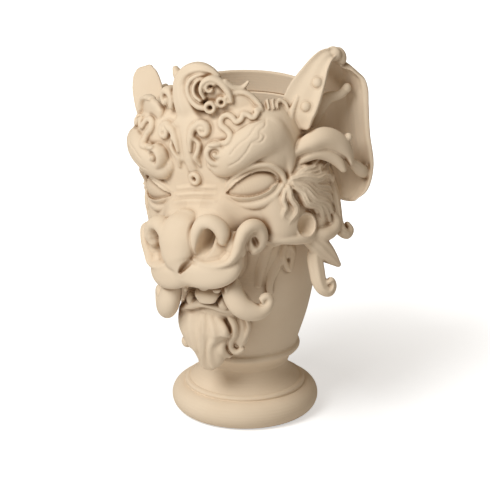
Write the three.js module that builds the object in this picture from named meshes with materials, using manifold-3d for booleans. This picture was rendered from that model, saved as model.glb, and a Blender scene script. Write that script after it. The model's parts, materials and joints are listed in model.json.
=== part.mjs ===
// A pedestal vase in pale unglazed earthenware. A beast's head is modelled round the upper half of its
// cup, from rolls, pads, strips and leaves of clay that are luted to the wall and to each other.
// Millimetres, +Z up, the origin at the centre of the foot's underside, the face towards -Y.
import * as THREE from 'three';
import { mergeVertices } from 'three/addons/utils/BufferGeometryUtils.js';
import loadManifold from 'manifold-3d';

const wasm = await loadManifold();
wasm.setup();

// Joints between sections of clay
const clearance = 0.3;

// Foot and collar
const footHeight = 25;
const footRadius = 65.8;
const footContactRadius = 58;
const footShoulderRadius = 55;
const beadRadius = 53.5;
const beadHeight = 3.5;
const neckRadius = 38.8;
const neckHeight = 47;
const collarRadius = 49.8;
const collarHeight = 62.5;
const collarTop = 69;
const collarLip = 3.5;
const neckFillet = 0.8;
const pedestalWall = 9;
const baseThickness = 8;
const pedestalBore = 26;

// Cup
const cupWall = 6;
const cupRootRadius = 48;
const cupLowHeight = 100;
const cupLowRadius = 57.4;
const bellyHeight = 190;
const bellyRadius = 67;
const rimHeight = 303;
const rimRadius = 58;
const rimDepth = 20;
const rimLedge = 2;

// Head: how far its middle lies under the rim, and how far the face rolls to one side. The tusks and the
// jaw lie under the head's middle, and the beard lies under the jaw. Behind the jaw and the beard, the
// cup's wall is set in from the belly by an inset, and they follow the wall.
const headDrop = 98;
const headRoll = 12;
const tuskDrop = 70;
const jawDrop = 70;
const jawRoll = 8;
const jawShift = 8;
const jawInset = 3.1;
const beardDrop = 35;
const beardInset = 9.6;

// The least half size of a strip between its points
const thinnest = 0.5;

// A dished strip grows at its edges between its two faces, which lies between 1 and 2
const edgeLean = 1.5;

// Facets
const vesselSegments = 32;
const stripSides = 6;
const ringsPerSpan = 1;
const capRings = 1;
const blobAcross = 8;
const blobDown = 6;
const massSegments = 20;
const smallMassSegments = 16;

// Facets narrower than this are merged into their neighbours
const smallestFacet = 0.08;

// Plan of the masses: 1 gives an ellipse, less gives squarer corners
const squareness = 0.8;

const clay = { color: 0xdcc8ac, roughness: 0.88, metalness: 0 };
const degree = Math.PI / 180;

// Solids and meshes

function toSolid(geometry) {
  const bare = geometry.clone();
  bare.deleteAttribute('normal');
  bare.deleteAttribute('uv');
  const merged = mergeVertices(bare, 1e-4);
  const vertProperties = new Float32Array(merged.attributes.position.array);
  const triVerts = new Uint32Array(merged.index.array);
  return new wasm.Manifold(new wasm.Mesh({ numProp: 3, vertProperties, triVerts }));
}

function toGeometry(solid) {
  const mesh = solid.getMesh();
  const geometry = new THREE.BufferGeometry();
  geometry.setAttribute('position', new THREE.BufferAttribute(new Float32Array(mesh.vertProperties), 3));
  geometry.setIndex(new THREE.BufferAttribute(new Uint32Array(mesh.triVerts), 1));
  geometry.computeVertexNormals();
  return geometry;
}

function largestBody(solid) {
  const bodies = solid.decompose();
  return bodies.reduce((best, body) => (body.volume() > best.volume() ? body : best));
}

function join(solids) {
  return solids.reduce((sum, solid) => sum.add(solid));
}

// A surface from closed rings of points, with a pole at each end
function ringSolid(startPole, rings, endPole) {
  const count = rings[0].length;
  const positions = [startPole, ...rings.flat(), endPole].flatMap((point) => point.toArray());
  const last = 1 + rings.length * count;
  const index = [];
  for (let side = 0; side < count; side += 1) {
    const next = (side + 1) % count;
    index.push(0, 1 + next, 1 + side);
    for (let ring = 0; ring < rings.length - 1; ring += 1) {
      const low = 1 + ring * count;
      const high = low + count;
      index.push(low + side, low + next, high + next, low + side, high + next, high + side);
    }
    const end = 1 + (rings.length - 1) * count;
    index.push(end + side, end + next, last);
  }
  const geometry = new THREE.BufferGeometry();
  geometry.setAttribute('position', new THREE.BufferAttribute(new Float32Array(positions), 3));
  geometry.setIndex(index);
  return toSolid(geometry);
}

// A point by its angle round the cup from the middle of the face, its lift above the belly's radius and
// its height in the group that carries it
function onCup(angle, lift, height) {
  const radius = bellyRadius + lift;
  return new THREE.Vector3(radius * Math.sin(angle * degree), -radius * Math.cos(angle * degree), height);
}

function mirrored(points, side) {
  return points.map(([angle, ...rest]) => [angle * side, ...rest]);
}

function levels(from, to, count) {
  return Array.from({ length: count + 1 }, (_, step) => from + ((to - from) * step) / count);
}

// Points of a spiral round a place on the cup. Its radius, turn, half width and half thickness each go
// evenly from a first value to a last.
function coil([angle, lift, height], radii, turns, widths, thicknesses, steps = 6) {
  const [radius, turn, width, thickness] = [radii, turns, widths, thicknesses].map(
    ([first, last]) => levels(first, last, steps));
  return radius.map((reach, step) => [
    angle + (reach * Math.cos(turn[step] * degree)) / ((bellyRadius + lift) * degree),
    lift, height + reach * Math.sin(turn[step] * degree), width[step], thickness[step]]);
}

// A strip of clay along a curve. Each point is [angle, lift, height, half width, half thickness]. Its
// section is an ellipse, dished by bend. It faces away from the cup, or towards the given angle.
function strip(points, { grow = 0, bend = 0, facing = null, tilt = 0, spans = ringsPerSpan } = {}) {
  const centres = points.map(([angle, lift, height]) => onCup(angle, lift, height));
  const curve = new THREE.CatmullRomCurve3(centres, false, 'centripetal');
  const halfSizes = points.map(([, , , width, thickness]) => new THREE.Vector3(width, thickness, 0));
  const sizes = new THREE.CatmullRomCurve3(halfSizes, false, 'catmullrom', 0.3);
  const steps = (points.length - 1) * spans;
  const rings = [];

  function ring(t, shift, shrink) {
    const centre = curve.getPoint(t);
    const tangent = curve.getTangent(t);
    const outward = facing === null
      ? new THREE.Vector3(centre.x, centre.y, 0).normalize()
      : new THREE.Vector3(Math.sin(facing * degree), -Math.cos(facing * degree), Math.tan(tilt * degree));
    outward.addScaledVector(tangent, -outward.dot(tangent)).normalize();
    const across = new THREE.Vector3().crossVectors(outward, tangent);
    const size = sizes.getPoint(t);
    const bareWidth = Math.max(size.x, thinnest);
    const width = bareWidth + grow;
    const thickness = Math.max(size.y, thinnest) + grow;
    centre.addScaledVector(tangent, shift * thickness);
    return Array.from({ length: stripSides }, (_, side) => {
      const turn = (side / stripSides) * 2 * Math.PI;
      const reach = Math.cos(turn);
      const dish = bend * reach * reach * (width / bareWidth) ** edgeLean;
      return centre.clone()
        .addScaledVector(across, width * shrink * reach)
        .addScaledVector(outward, shrink * (thickness * Math.sin(turn) + dish));
    });
  }

  function pole(t, shift) {
    const size = sizes.getPoint(t);
    const reach = shift * (Math.max(size.y, thinnest) + grow);
    return curve.getPoint(t).addScaledVector(curve.getTangent(t), reach);
  }

  for (let cap = capRings; cap > 0; cap -= 1) {
    const lean = (cap / (capRings + 1)) * 90 * degree;
    rings.push(ring(0, -Math.sin(lean), Math.cos(lean)));
  }
  for (let step = 0; step <= steps; step += 1) {
    rings.push(ring(step / steps, 0, 1));
  }
  for (let cap = 1; cap <= capRings; cap += 1) {
    const lean = (cap / (capRings + 1)) * 90 * degree;
    rings.push(ring(1, Math.sin(lean), Math.cos(lean)));
  }
  return ringSolid(pole(0, -1), rings, pole(1, 1));
}

// A pad or ball of clay: half sizes across, in depth and in height, turned to face an angle
function blob([angle, lift, height], [across, depth, tall], { grow = 0, facing = angle, lean = 0 } = {}) {
  const geometry = new THREE.SphereGeometry(1, blobAcross, blobDown);
  geometry.rotateX(90 * degree);
  geometry.scale(across + grow, depth + grow, tall + grow);
  geometry.rotateY(lean * degree);
  geometry.rotateZ(facing * degree);
  const centre = onCup(angle, lift, height);
  geometry.translate(centre.x, centre.y, centre.z);
  return toSolid(geometry);
}

// A ring of clay with a floor
function eyelet([angle, lift, height], radius, grow) {
  const ring = coil([angle, lift, height], [radius, radius], [60, 360], [2, 2], [4, 4]);
  return strip(ring, { grow }).add(blob([angle, lift - 2, height], [radius, 2, radius], { grow }));
}

function middleOf(points) {
  return points.reduce((sum, point) => sum.add(point), new THREE.Vector3()).divideScalar(points.length);
}

// A mass built up in level slices: [height, centre x, front lift, back y, half width], squarish in plan
function mass(slices, { grow = 0, side = 1, segments = massSegments } = {}) {
  const rings = slices.map(([height, middle, front, back, halfWidth], level) => {
    const foremost = -(bellyRadius + front) - grow;
    const rearmost = back + grow;
    const end = level === 0 ? -grow : grow * Number(level === slices.length - 1);
    return Array.from({ length: segments }, (_, step) => {
      const turn = (step / segments) * 2 * Math.PI;
      const acrossPart = Math.sign(Math.cos(turn)) * Math.abs(Math.cos(turn)) ** squareness;
      const depthPart = Math.sign(Math.sin(turn)) * Math.abs(Math.sin(turn)) ** squareness;
      return new THREE.Vector3(
        side * middle + (halfWidth + grow) * acrossPart,
        (foremost + rearmost) / 2 + ((rearmost - foremost) / 2) * depthPart,
        height + end);
    });
  });
  return ringSolid(middleOf(rings[0]), rings, middleOf(rings[rings.length - 1]));
}

// The vessel

function turned(profile) {
  const outline = profile.map(([radius, height]) => new THREE.Vector2(radius, height));
  const geometry = new THREE.LatheGeometry(outline, vesselSegments);
  geometry.rotateX(90 * degree);
  return toSolid(geometry);
}

const cupStations = [
  [collarTop, cupRootRadius],
  [cupLowHeight, cupLowRadius],
  [(cupLowHeight + bellyHeight) / 2, cupLowRadius + 0.8 * (bellyRadius - cupLowRadius)],
  [bellyHeight, bellyRadius],
  [(bellyHeight + rimHeight) / 2, bellyRadius - 0.35 * (bellyRadius - rimRadius)],
  [rimHeight, rimRadius],
];
const cupCurve = new THREE.CubicInterpolant(
  cupStations.map(([height]) => height), cupStations.map(([, radius]) => radius), 1);

function cupRadiusAt(height) {
  return cupCurve.evaluate(Math.min(Math.max(height, collarTop), rimHeight))[0];
}

const beadTop = footHeight + beadHeight;
const rollLean = 80;

function footSolid(grow) {
  const rollMiddle = footHeight / 2;
  const roll = levels(-rollLean, rollLean, 6).map((lean) => [
    footShoulderRadius + (footRadius - footShoulderRadius) * Math.cos(lean * degree) + grow,
    rollMiddle + rollMiddle * Math.sin(lean * degree)]);
  return turned([
    [0, -grow], [footContactRadius + grow, -grow], ...roll,
    [footShoulderRadius + grow, footHeight], [beadRadius + grow, footHeight + beadHeight / 2],
    [beadRadius - beadHeight / 2, beadTop + grow], [pedestalBore - grow, beadTop + grow],
    [footShoulderRadius - 2 * pedestalWall, baseThickness + pedestalWall],
    [footShoulderRadius - 2 * pedestalWall, baseThickness + grow], [0, baseThickness + grow]]);
}

function collarSolid(grow) {
  const base = beadTop + clearance;
  const sweep = levels(0, 1, 4).map((along) => [
    neckRadius + (beadRadius - beadHeight - neckRadius) * (1 - along) ** 2 + grow,
    base + (neckHeight - base) * along]);
  return turned([
    [pedestalBore - grow, base - grow], [beadRadius - beadHeight + grow, base - grow], ...sweep,
    [neckRadius + neckFillet + grow, neckHeight + 2],
    [collarRadius - collarLip + grow, collarHeight - 2 * collarLip],
    [collarRadius + grow, collarHeight - collarLip / 2],
    [collarRadius + grow, collarHeight + collarLip / 2],
    [cupRootRadius + neckFillet + grow, collarTop - clearance + grow],
    [pedestalBore - grow, collarTop - clearance + grow], [pedestalBore - grow, base - grow]]);
}

const rimBase = rimHeight - rimDepth;
const cupLevels = levels(collarTop, rimBase, 8).slice(0, -1);

function cupSolid(grow) {
  const floor = collarTop + baseThickness;
  const outside = [...cupLevels, rimBase - clearance].map((height) => [
    cupRadiusAt(height) + grow, height]);
  const inside = levels(rimBase - clearance, floor + cupWall, 6).map((height) => [
    cupRadiusAt(height) - cupWall - grow, height]);
  return turned([
    [pedestalBore - grow, collarTop - grow], ...outside, ...inside,
    [cupRadiusAt(floor) - 2 * cupWall, floor + grow], [pedestalBore - grow, floor + grow],
    [pedestalBore - grow, collarTop - grow]]);
}

function rimSolid(grow) {
  const inner = cupWall - rimLedge;
  const outside = [rimBase, rimHeight - inner / 2].map((height) => [cupRadiusAt(height) + grow, height]);
  const inside = levels(rimHeight - inner / 2, rimBase, 2).map((height) => [
    cupRadiusAt(height) - inner - grow, height]);
  return turned([
    ...outside, [rimRadius - inner / 4 + grow, rimHeight + grow],
    [rimRadius - (3 * inner) / 4 - grow, rimHeight + grow], ...inside, outside[0]]);
}

// The cup and rim as one filled form, which the pieces on it are cut to
function filledCup(grow) {
  const outside = [...cupLevels, rimBase, rimHeight].map((height) => [cupRadiusAt(height) + grow, height]);
  return turned([[0, collarTop - grow], ...outside, [0, rimHeight]]);
}

function mouthSpace(grow) {
  const radius = rimRadius + grow;
  const low = rimHeight - 1;
  const high = rimHeight + headDrop;
  return turned([[0, low], [radius, low], [radius, high], [0, high]]);
}

// The groups that carry the head's parts

function groupAt(across, height, roll, inset) {
  const group = new THREE.Group();
  const wallShift = inset === undefined ? 0 : bellyRadius - inset - cupRadiusAt(height);
  group.position.set(across, wallShift, height);
  group.rotation.y = -roll * degree;
  return group;
}

const headHeight = rimHeight - headDrop;
const jawHeight = headHeight - jawDrop;
const vase = new THREE.Group();
const head = groupAt(0, headHeight, headRoll);
const tusks = groupAt(jawShift, headHeight - tuskDrop, jawRoll);
const jaw = groupAt(jawShift, jawHeight, jawRoll, jawInset);
const beard = groupAt(jawShift, jawHeight - beardDrop, 0, beardInset);
vase.add(head, tusks, jaw, beard);
vase.updateMatrixWorld(true);

// Each new piece is fitted round the pieces already laid, with the joint's clearance between them
const laid = [];

function boxesMeet(first, second) {
  const a = first.boundingBox();
  const b = second.boundingBox();
  return a.min.every((low, axis) => low < b.max[axis] && b.min[axis] < a.max[axis]);
}

function lay(group, name, seat, build) {
  const toWorld = group.matrixWorld;
  const toGroup = toWorld.clone().invert();
  const raw = build(0).transform(toWorld.elements);
  const neighbours = laid.filter((other) => boxesMeet(raw, other));
  const fitted = neighbours.reduce((rest, other) => rest.subtract(other), raw);
  laid.push(build(clearance).transform(toWorld.elements));
  const body = largestBody(fitted.simplify(smallestFacet));
  const seated = body.transform(toGroup.elements).translate(seat.clone().negate().toArray());
  const mesh = new THREE.Mesh(toGeometry(seated), new THREE.MeshStandardMaterial(clay));
  mesh.name = name;
  mesh.position.copy(seat);
  group.add(mesh);
}

// A strip or a blob seated at its own first point, and the same on both sides of the face
function layStrip(group, name, points, options = {}) {
  lay(group, name, onCup(...points[0]), (grow) => strip(points, { ...options, grow }));
}

const sides = [['left', 1], ['right', -1]];

function layPair(group, name, build, seat) {
  for (const [word, side] of sides) {
    const [angle, lift, height] = seat;
    lay(group, `${name}_${word}`, onCup(angle * side, lift, height), (grow) => build(side, grow));
  }
}

function layStripPair(group, name, points, options = {}) {
  layPair(group, name, (side, grow) => {
    const { facing = null, ...rest } = options;
    return strip(mirrored(points, side), { ...rest, facing: facing === null ? null : facing * side, grow });
  }, points[0]);
}

const origin = new THREE.Vector3();
lay(vase, 'foot', origin, footSolid);
lay(vase, 'collar', origin, collarSolid);
lay(vase, 'cup', origin, cupSolid);
lay(vase, 'rim', origin, rimSolid);
laid.push(filledCup(clearance));

// The masses of the head, in slices of [height, centre x, front lift, back y, half width]

const foreheadSlices = [
  [6, 0, 3, bellyRadius - 45, bellyRadius - 1],
  [22, 0, 1, bellyRadius - 39, bellyRadius + 9],
  [42, 0, 3, bellyRadius - 35, bellyRadius + 17],
  [62, 0, 4, bellyRadius - 35, bellyRadius + 17],
  [78, 0, 1, bellyRadius - 39, bellyRadius + 11],
  [89, 0, -5, bellyRadius - 47, bellyRadius + 1],
  [95, 0, -9, bellyRadius - 53, bellyRadius - 9],
];
const muzzleSlices = [
  [-59, 2, 25, -50, 24],
  [-53, 1, 31, -50, 37],
  [-45, 1, 34, -50, 45],
  [-28, 0, 34, -50, 47],
  [-12, 0, 30, -50, 44],
  [2, 0, 22, -50, 35],
  [13, 0, 12, -50, 27],
  [20, 0, 4, -50, 20],
];
const cheekSlices = [
  [-36, bellyRadius - 12, -18, 14, 18],
  [-28, bellyRadius - 10, -12, 24, 23],
  [-10, bellyRadius - 10, -11, 30, 25],
  [7.5, bellyRadius - 11, -12, 32, 23.5],
];
const jawSlices = [
  [-28, 0, 2, -40, 22],
  [-20, 0, 9, -40, 29],
  [-12, 0, 11, -40, 30],
  [-6, 0, 8, -40, 27],
];

lay(head, 'forehead', onCup(0, 4, 62), (grow) => {
  const toHead = head.matrixWorld.clone().invert();
  return mass(foreheadSlices, { grow }).subtract(mouthSpace(clearance).transform(toHead.elements));
});

// The pit of a nostril, which the arch over it leaves open
const nostrilPit = { seat: [13, 41, -21], size: [5.5, 12, 13] };

lay(head, 'muzzle', onCup(0, 30, -40), (grow) => {
  const pits = sides.map(([, side]) => {
    const [angle, lift, height] = nostrilPit.seat;
    return blob([angle * side, lift, height], nostrilPit.size, { lean: 22 * side });
  });
  return mass(muzzleSlices, { grow }).subtract(join(pits));
});
layPair(head, 'cheek', (side, grow) => mass(cheekSlices, {
  grow, side, segments: smallMassSegments,
}).add(strip(mirrored([
  [18, 4, 3, 9, 8],
  [32, 3, -5, 11, 9],
  [45, 4, -9, 12, 9],
  [58, 5, -10, 12, 9],
], side), { grow })), [60, 10, -20]);
lay(jaw, 'jaw', onCup(0, 5, -15), (grow) => mass(jawSlices, {
  grow, segments: smallMassSegments,
}).add(strip([
  [-19, 10, -16, 3, 4],
  [-9, 13, -12, 4, 4],
  [0, 13, -9, 4, 4],
  [9, 13, -10, 4, 4],
  [20, 8, -16, 3, 4],
], { grow })));

// Muzzle. Points are [angle, lift, height, half width, half thickness] round the cup.

layStrip(head, 'nose', [
  [-1, 20, 4, 11, 8],
  [-1, 27, -4, 15, 11],
  [-1, 31, -14, 16.5, 12.5],
  [-1, 32.5, -24, 16, 13],
  [-1, 33.5, -33, 14, 12.5],
  [-1, 35, -41, 9.5, 9.5],
  [-2, 36, -47.5, 4.5, 6],
]);
layStripPair(head, 'nostril', [
  [8, 33, -27, 3.5, 5],
  [8, 33, -18, 5, 7],
  [10, 32, -7, 6.5, 8],
  [14, 31, -0.5, 7, 8.5],
  [18.5, 31, -1, 7, 8.5],
  [22, 31, -7, 7, 8.5],
  [23.5, 31, -14, 6.5, 8],
  [23, 31, -19, 5, 6.5],
]);
layPair(head, 'lip_scroll', (side, grow) => strip(mirrored([
  [-3, 32, -43, 11, 8.5],
  [2, 32.5, -45, 11.5, 9],
  [9, 32.5, -47.5, 12.5, 9],
  [18, 32, -48, 12.5, 9],
  [25, 29.5, -45, 11.5, 9],
  [28.5, 26, -37, 9, 8],
], side), { grow }).add(strip(mirrored([
  [12, 36, -38, 2, 4],
  [19, 36.5, -40, 2.5, 4],
  [25, 35, -37, 3, 4.5],
  [28.5, 32, -30, 4, 5.5],
  [30.5, 29.5, -21.5, 5, 7],
  [33.5, 28, -15, 5, 7],
  [37, 25, -12, 5, 7],
  [41, 22, -14, 5, 6.5],
  [42.5, 20, -20, 5, 6],
  [42, 19, -27, 4.5, 5.5],
  [39, 20, -32, 4, 5],
], side), { grow })), [18, 32, -48]);

// Eyes

layPair(head, 'eye', (side, grow) => blob([43.5 * side, 3.5, 19.5], [23, 13.5, 15], {
  grow, facing: 24 * side, lean: -6 * side,
}), [43.5, 3.5, 19.5]);
layStripPair(head, 'upper_lid', [
  [23, 0, 16, 2.5, 3],
  [29, 5.5, 25.5, 3, 4],
  [39, 12, 35, 4, 4.5],
  [48, 16.5, 38, 4, 4.5],
  [55, 18, 35, 3.5, 4.5],
  [60.5, 17.5, 26, 3, 4],
  [62.5, 17, 18, 2.5, 3.5],
]);
layStripPair(head, 'lower_lid', [
  [24, 0.5, 14.5, 2.5, 3],
  [32, 6.5, 6.5, 4, 4.5],
  [40, 11, 2.5, 5, 5],
  [48, 14.5, 3.5, 5, 5],
  [55, 16, 8.5, 4, 4.5],
  [60, 17, 15, 2.5, 3.5],
]);

// Brows and forehead

layPair(head, 'brow', (side, grow) => join([
  strip(mirrored([
    [20, 4, 45, 9, 7],
    [26, 7.5, 43.5, 13, 9],
    [35, 12, 48, 15, 11.5],
    [45, 14.5, 55.5, 17, 13.5],
    [54, 15, 59, 18, 14],
    [62, 13.5, 55, 15.5, 13],
    [67, 12.5, 43, 11, 11],
    [67, 13.5, 31, 6.5, 8],
    [65.5, 15.5, 20.5, 2, 4],
  ], side), { grow, spans: 2 }),
  blob([60 * side, 10.5, 58], [16, 16.5, 20], { grow }),
  strip(mirrored(coil([26, 13, 54], [8.6, 4.6], [-70, -330], [4.2, 3.2], [7, 8], 7), side), { grow }),
]), [43, 20, 57]);
layStrip(head, 'forehead_stem', [
  [4, -11.5, 98, 8, 4],
  [4, -3.5, 88, 9.5, 4],
  [4, 2, 79, 8, 4],
  [4, 4, 72, 6, 4],
  [3, 5, 60, 4.5, 4],
  [1, 4.5, 47, 4.5, 4],
  [1.5, 3, 40, 4, 3.5],
]);
lay(head, 'forehead_bead', onCup(1, 2.5, 31), (grow) => blob([1, 2.5, 31], [6.8, 3.6, 6.8], { grow }));
layStripPair(head, 'tendril', [
  [5.5, 7, 57, 2, 3],
  [6.5, 7.5, 66, 3, 3.5],
  [9, 6.5, 75, 3.5, 4],
  ...coil([16.5, 6, 74], [6.6, 3.4], [145, -180], [3.2, 2.2], [3.8, 4], 7),
]);
layStripPair(head, 'ribbon', [
  [8, 6.5, 68, 1.5, 3],
  [11.5, 6, 61, 2.5, 3],
  [9.5, 5.5, 55, 2.5, 3],
  [7, 5, 50, 2.4, 3],
  [7.5, 4, 42, 2, 3],
]);
layStripPair(head, 'vine', [
  [53, 15, 82, 2.5, 4],
  [50, 16, 78.5, 2.6, 4],
  [45, 12, 83, 2.6, 4],
  [40, 13, 77.5, 2.6, 4],
  [35, 8, 84, 2.8, 4],
  [31, 7, 82, 2.9, 4],
  [30, 9, 76.5, 3, 4],
  [35, 17, 66.5, 3, 4],
  [32, 18, 62, 2.8, 4],
  [22, 17, 62, 2, 3.5],
]);
layPair(head, 'plate', (side, grow) => strip(mirrored([
  [26, 0, 88, 7, 4],
  [35, 1, 90.5, 10, 4],
  [44, 2.5, 91, 11, 4.4],
  [51, 4, 88, 9, 4.4],
  [56, 6, 84, 6, 4],
], side), { grow }).add(strip(mirrored([
  [36, 2, 100, 2.5, 4],
  [44, 3.5, 100.5, 3, 4.5],
  [50, 5.5, 98, 3, 5],
  [54, 7.5, 92.5, 3, 5],
  [56.5, 11.5, 82, 3, 5],
], side), { grow })), [43, 2, 90]);
layStrip(head, 'crest', [
  [3, 1, 84, 11, 5],
  [2.5, -1, 94, 9.5, 6],
  [2.5, -4, 106, 7.5, 6.5],
  [4, -6, 117, 7, 7],
  [9, -7, 125, 6.5, 7],
  [17, -6, 128.5, 6.5, 7.5],
  [25, -4, 127.5, 6, 7],
  [31, -2, 124, 5, 5.5],
  [35.5, 0, 119, 3, 4],
]);
lay(head, 'crest_scroll', onCup(20, -6, 107), (grow) => join([
  blob([20, -10, 107], [17, 5.5, 20], { grow }),
  strip([
    [26, -3, 123, 2, 3],
    [19, -2, 124, 2.5, 4],
    [12, -1, 120, 2.5, 4.5],
    [9, 0, 111, 2.5, 4.5],
    [10.5, 1, 101, 3, 4.5],
    [15, 2, 94.5, 3, 4.5],
    [21, 3, 92, 2.5, 4],
  ], { grow }),
  strip([
    [24, -2, 118.5, 2, 3],
    [18, -1, 119, 2, 4],
    [14, 0, 113, 2, 4],
    [14, 1, 105, 2, 4],
    [18, 2, 99.5, 2, 4],
  ], { grow }),
]));
lay(head, 'crest_spiral', onCup(25, 3, 99), (grow) => join([
  strip([
    [21, 3, 101, 2, 4],
    [20, 4, 109, 2.5, 4.5],
    [23, 5, 116, 3, 5],
    [28, 5, 119, 3, 5],
    [33, 5, 116, 3.5, 5],
    [37, 5.5, 109, 3.5, 5],
    [39, 6.5, 101, 2.5, 4],
  ], { grow }),
  strip(coil([26.5, 4, 108.5], [5.4, 3], [40, 270], [2, 1.8], [4, 4], 6), { grow }),
  strip([
    [37, 5, 112, 2.5, 4],
    [42, 4, 105.5, 3, 4],
    [48, 4, 104, 2.5, 3.5],
    [53, 5, 108.5, 1, 2],
  ], { grow }),
  strip([
    [37, 5, 105, 2.5, 3.5],
    [44, 4, 100, 2.5, 3.5],
    [50, 4, 101, 2, 3],
  ], { grow }),
  eyelet([24.5, 6, 92.5], 3.9, grow),
  eyelet([32.5, 5.5, 95.5], 3.5, grow),
]));
const combTeeth = [
  [[57.5, 14, 83, 2, 3], [58.5, 12, 87, 2, 3], [60.5, 8, 90.5, 2, 3], [63, 5, 92.5, 2, 3],
    [66, 2, 93, 2, 3]],
  [[61.5, 14, 82, 2, 3], [63, 12, 87, 2, 3], [66, 10, 89, 2, 3], [69, 8, 88.5, 2, 3]],
  [[69, 7, 88, 2.5, 3.5], [73, 11, 84, 2.5, 3.5], [73, 15, 77, 2, 3]],
];

layPair(head, 'comb', (side, grow) => join(combTeeth.map(
  (points) => strip(mirrored(points, side), { grow }))), [62, 12, 86]);

// Ears

const leafFoot = [
  [80, 17, 63, 8, 4],
  [80, 19, 75, 16, 4],
];
const ears = {
  left: {
    facing: 12,
    leaf: [...leafFoot, [84, 23, 88, 18, 4], [89, 28, 100, 16, 4], [95, 33, 110, 11.5, 4],
      [100, 37, 116, 7, 4], [103, 40.5, 119, 4, 4]],
    studs: [[81, 27, 78], [88, 34, 96], [103.5, 42, 114]],
  },
  right: {
    facing: -10,
    leaf: [...leafFoot, [82, 21, 84, 18, 4], [85, 24, 94, 18, 4], [88, 27, 102, 16, 4],
      [91, 29, 108, 11, 4], [93, 30, 111, 6, 4]],
    studs: [[88, 29, 79], [84, 31, 92], [97, 32, 107]],
  },
};
const leafDish = 3.5;
const studSize = [4.6, 4.6, 4.6];

layPair(head, 'ear_leaf', (side, grow) => {
  const { facing, leaf, studs } = side > 0 ? ears.left : ears.right;
  return join([
    strip(mirrored(leaf, side), { grow, facing: facing * side, bend: leafDish, spans: 2 }),
    ...mirrored(studs, side).map((place) => blob(place, studSize, { grow })),
  ]);
}, [80, 19, 75]);
// The steep edges of the shell need a wider joint than the rest of the clay
const shellJoint = 2;

layPair(head, 'ear_shell', (side, grow) => strip(mirrored([
  [112, 24, -18, 7, 4],
  [113, 28, -8, 17, 4],
  [113, 29, 12, 24, 4],
  [112, 28, 40, 26, 4],
  [111, 28, 66, 25, 4],
  [110, 28, 88, 19, 4],
  [108, 31, 102, 9, 4],
], side), { grow: shellJoint * grow, facing: 34 * side, bend: 14, spans: 2 }).add(strip(mirrored([
  [92, 14, 60, 6, 3],
  [94, 21, 70, 6.5, 3],
  [97, 31, 79, 5, 3],
  [100, 37, 80, 4, 3],
], side), { grow, facing: 34 * side })), [112, 28, 40]);
layPair(head, 'ear_horn', (side, grow) => strip(mirrored([
  [71, 13, 39, 5, 5],
  [75, 21, 44, 6.5, 5.5],
  [80, 28, 47, 8.5, 6.5],
  [85, 33, 48.5, 9.5, 7.5],
  [90, 37, 44, 10, 7.5],
  [93.5, 40.5, 37, 9, 6.5],
  [96.5, 42, 29, 6.5, 5],
  [98, 43, 21, 4, 4],
  [102, 45, 11, 4, 3],
  [106, 46, 4, 4, 3],
], side), { grow, facing: 40 * side }).add(
  blob([96 * side, 46, 44], [3.5, 3.5, 3.5], { grow })), [75, 21, 44]);

// Mane, locks and leaves at the sides

const maneStrands = [
  [[66, 18, 19, 3.5, 4], [72, 19, 17.5, 5, 5], [80, 18, 11, 5, 5], [87, 17.5, 5, 4, 4.5],
    [96, 17, 2, 3, 3.5]],
  [[66, 18, 20, 3.5, 4], [72, 19.5, 26, 4.5, 5], [79, 19.5, 31, 5, 5], [88, 18.5, 33, 4.5, 5],
    [97, 18, 28, 4, 4.5], [102, 17, 18, 3, 3.5]],
  [[66, 18, 17, 3.5, 4], [71, 19, 8, 5, 5], [79, 18, -3, 5, 5], [88, 16.5, -13, 4.5, 5],
    [96, 15, -24, 3, 3.5]],
  [[65, 18, 15, 3.5, 4], [68, 19, 4, 4, 5], [74, 18, -5, 4, 5], [79, 16.5, -14, 4, 5],
    [87, 14.5, -24, 4, 4.5], [94, 13, -33, 3, 3.5]],
  [[63, 18.5, 14, 3, 4], [62, 19.5, 6, 3.5, 4.5], [66, 19.5, -2, 3.5, 5], [64, 18.5, -9, 3.5, 4.5],
    [60, 17.5, -17, 3, 4]],
  [[61, 18, 12, 2.5, 3.5], [57.5, 18.5, 4, 3, 4.5], [60, 18.5, -4, 3, 4.5], [57, 17.5, -11, 3, 4.5],
    [55, 15.5, -22, 2, 3.5]],
  [[72, 18, 14, 3.5, 4], [82, 18, 4, 5, 5], [91, 17.5, -7, 5.5, 5], [96, 16.5, -20, 5.5, 5],
    [97, 15.5, -32, 4.5, 4.5], [94, 14, -42, 3, 3]],
  [[70, 13, 24, 8, 6], [80, 13, 17, 12, 6], [89, 12, 6, 11, 6], [93, 12, -8, 8, 5]],
  [[63, 13, 12, 6, 6], [69, 13, 0, 10, 6], [77, 12, -13, 11, 6], [86, 11, -26, 9, 6]],
  coil([88, 20, 22], [10, 4], [150, -180], [3.2, 2.5], [4.6, 5.5], 8),
  coil([71, 19.5, -21], [8, 8], [90, 450], [3, 3], [5.5, 5.5], 8),
  coil([88.5, 16, -33], [7, 3.8], [150, -120], [3.2, 2.4], [4.8, 4.8], 7),
];

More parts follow.
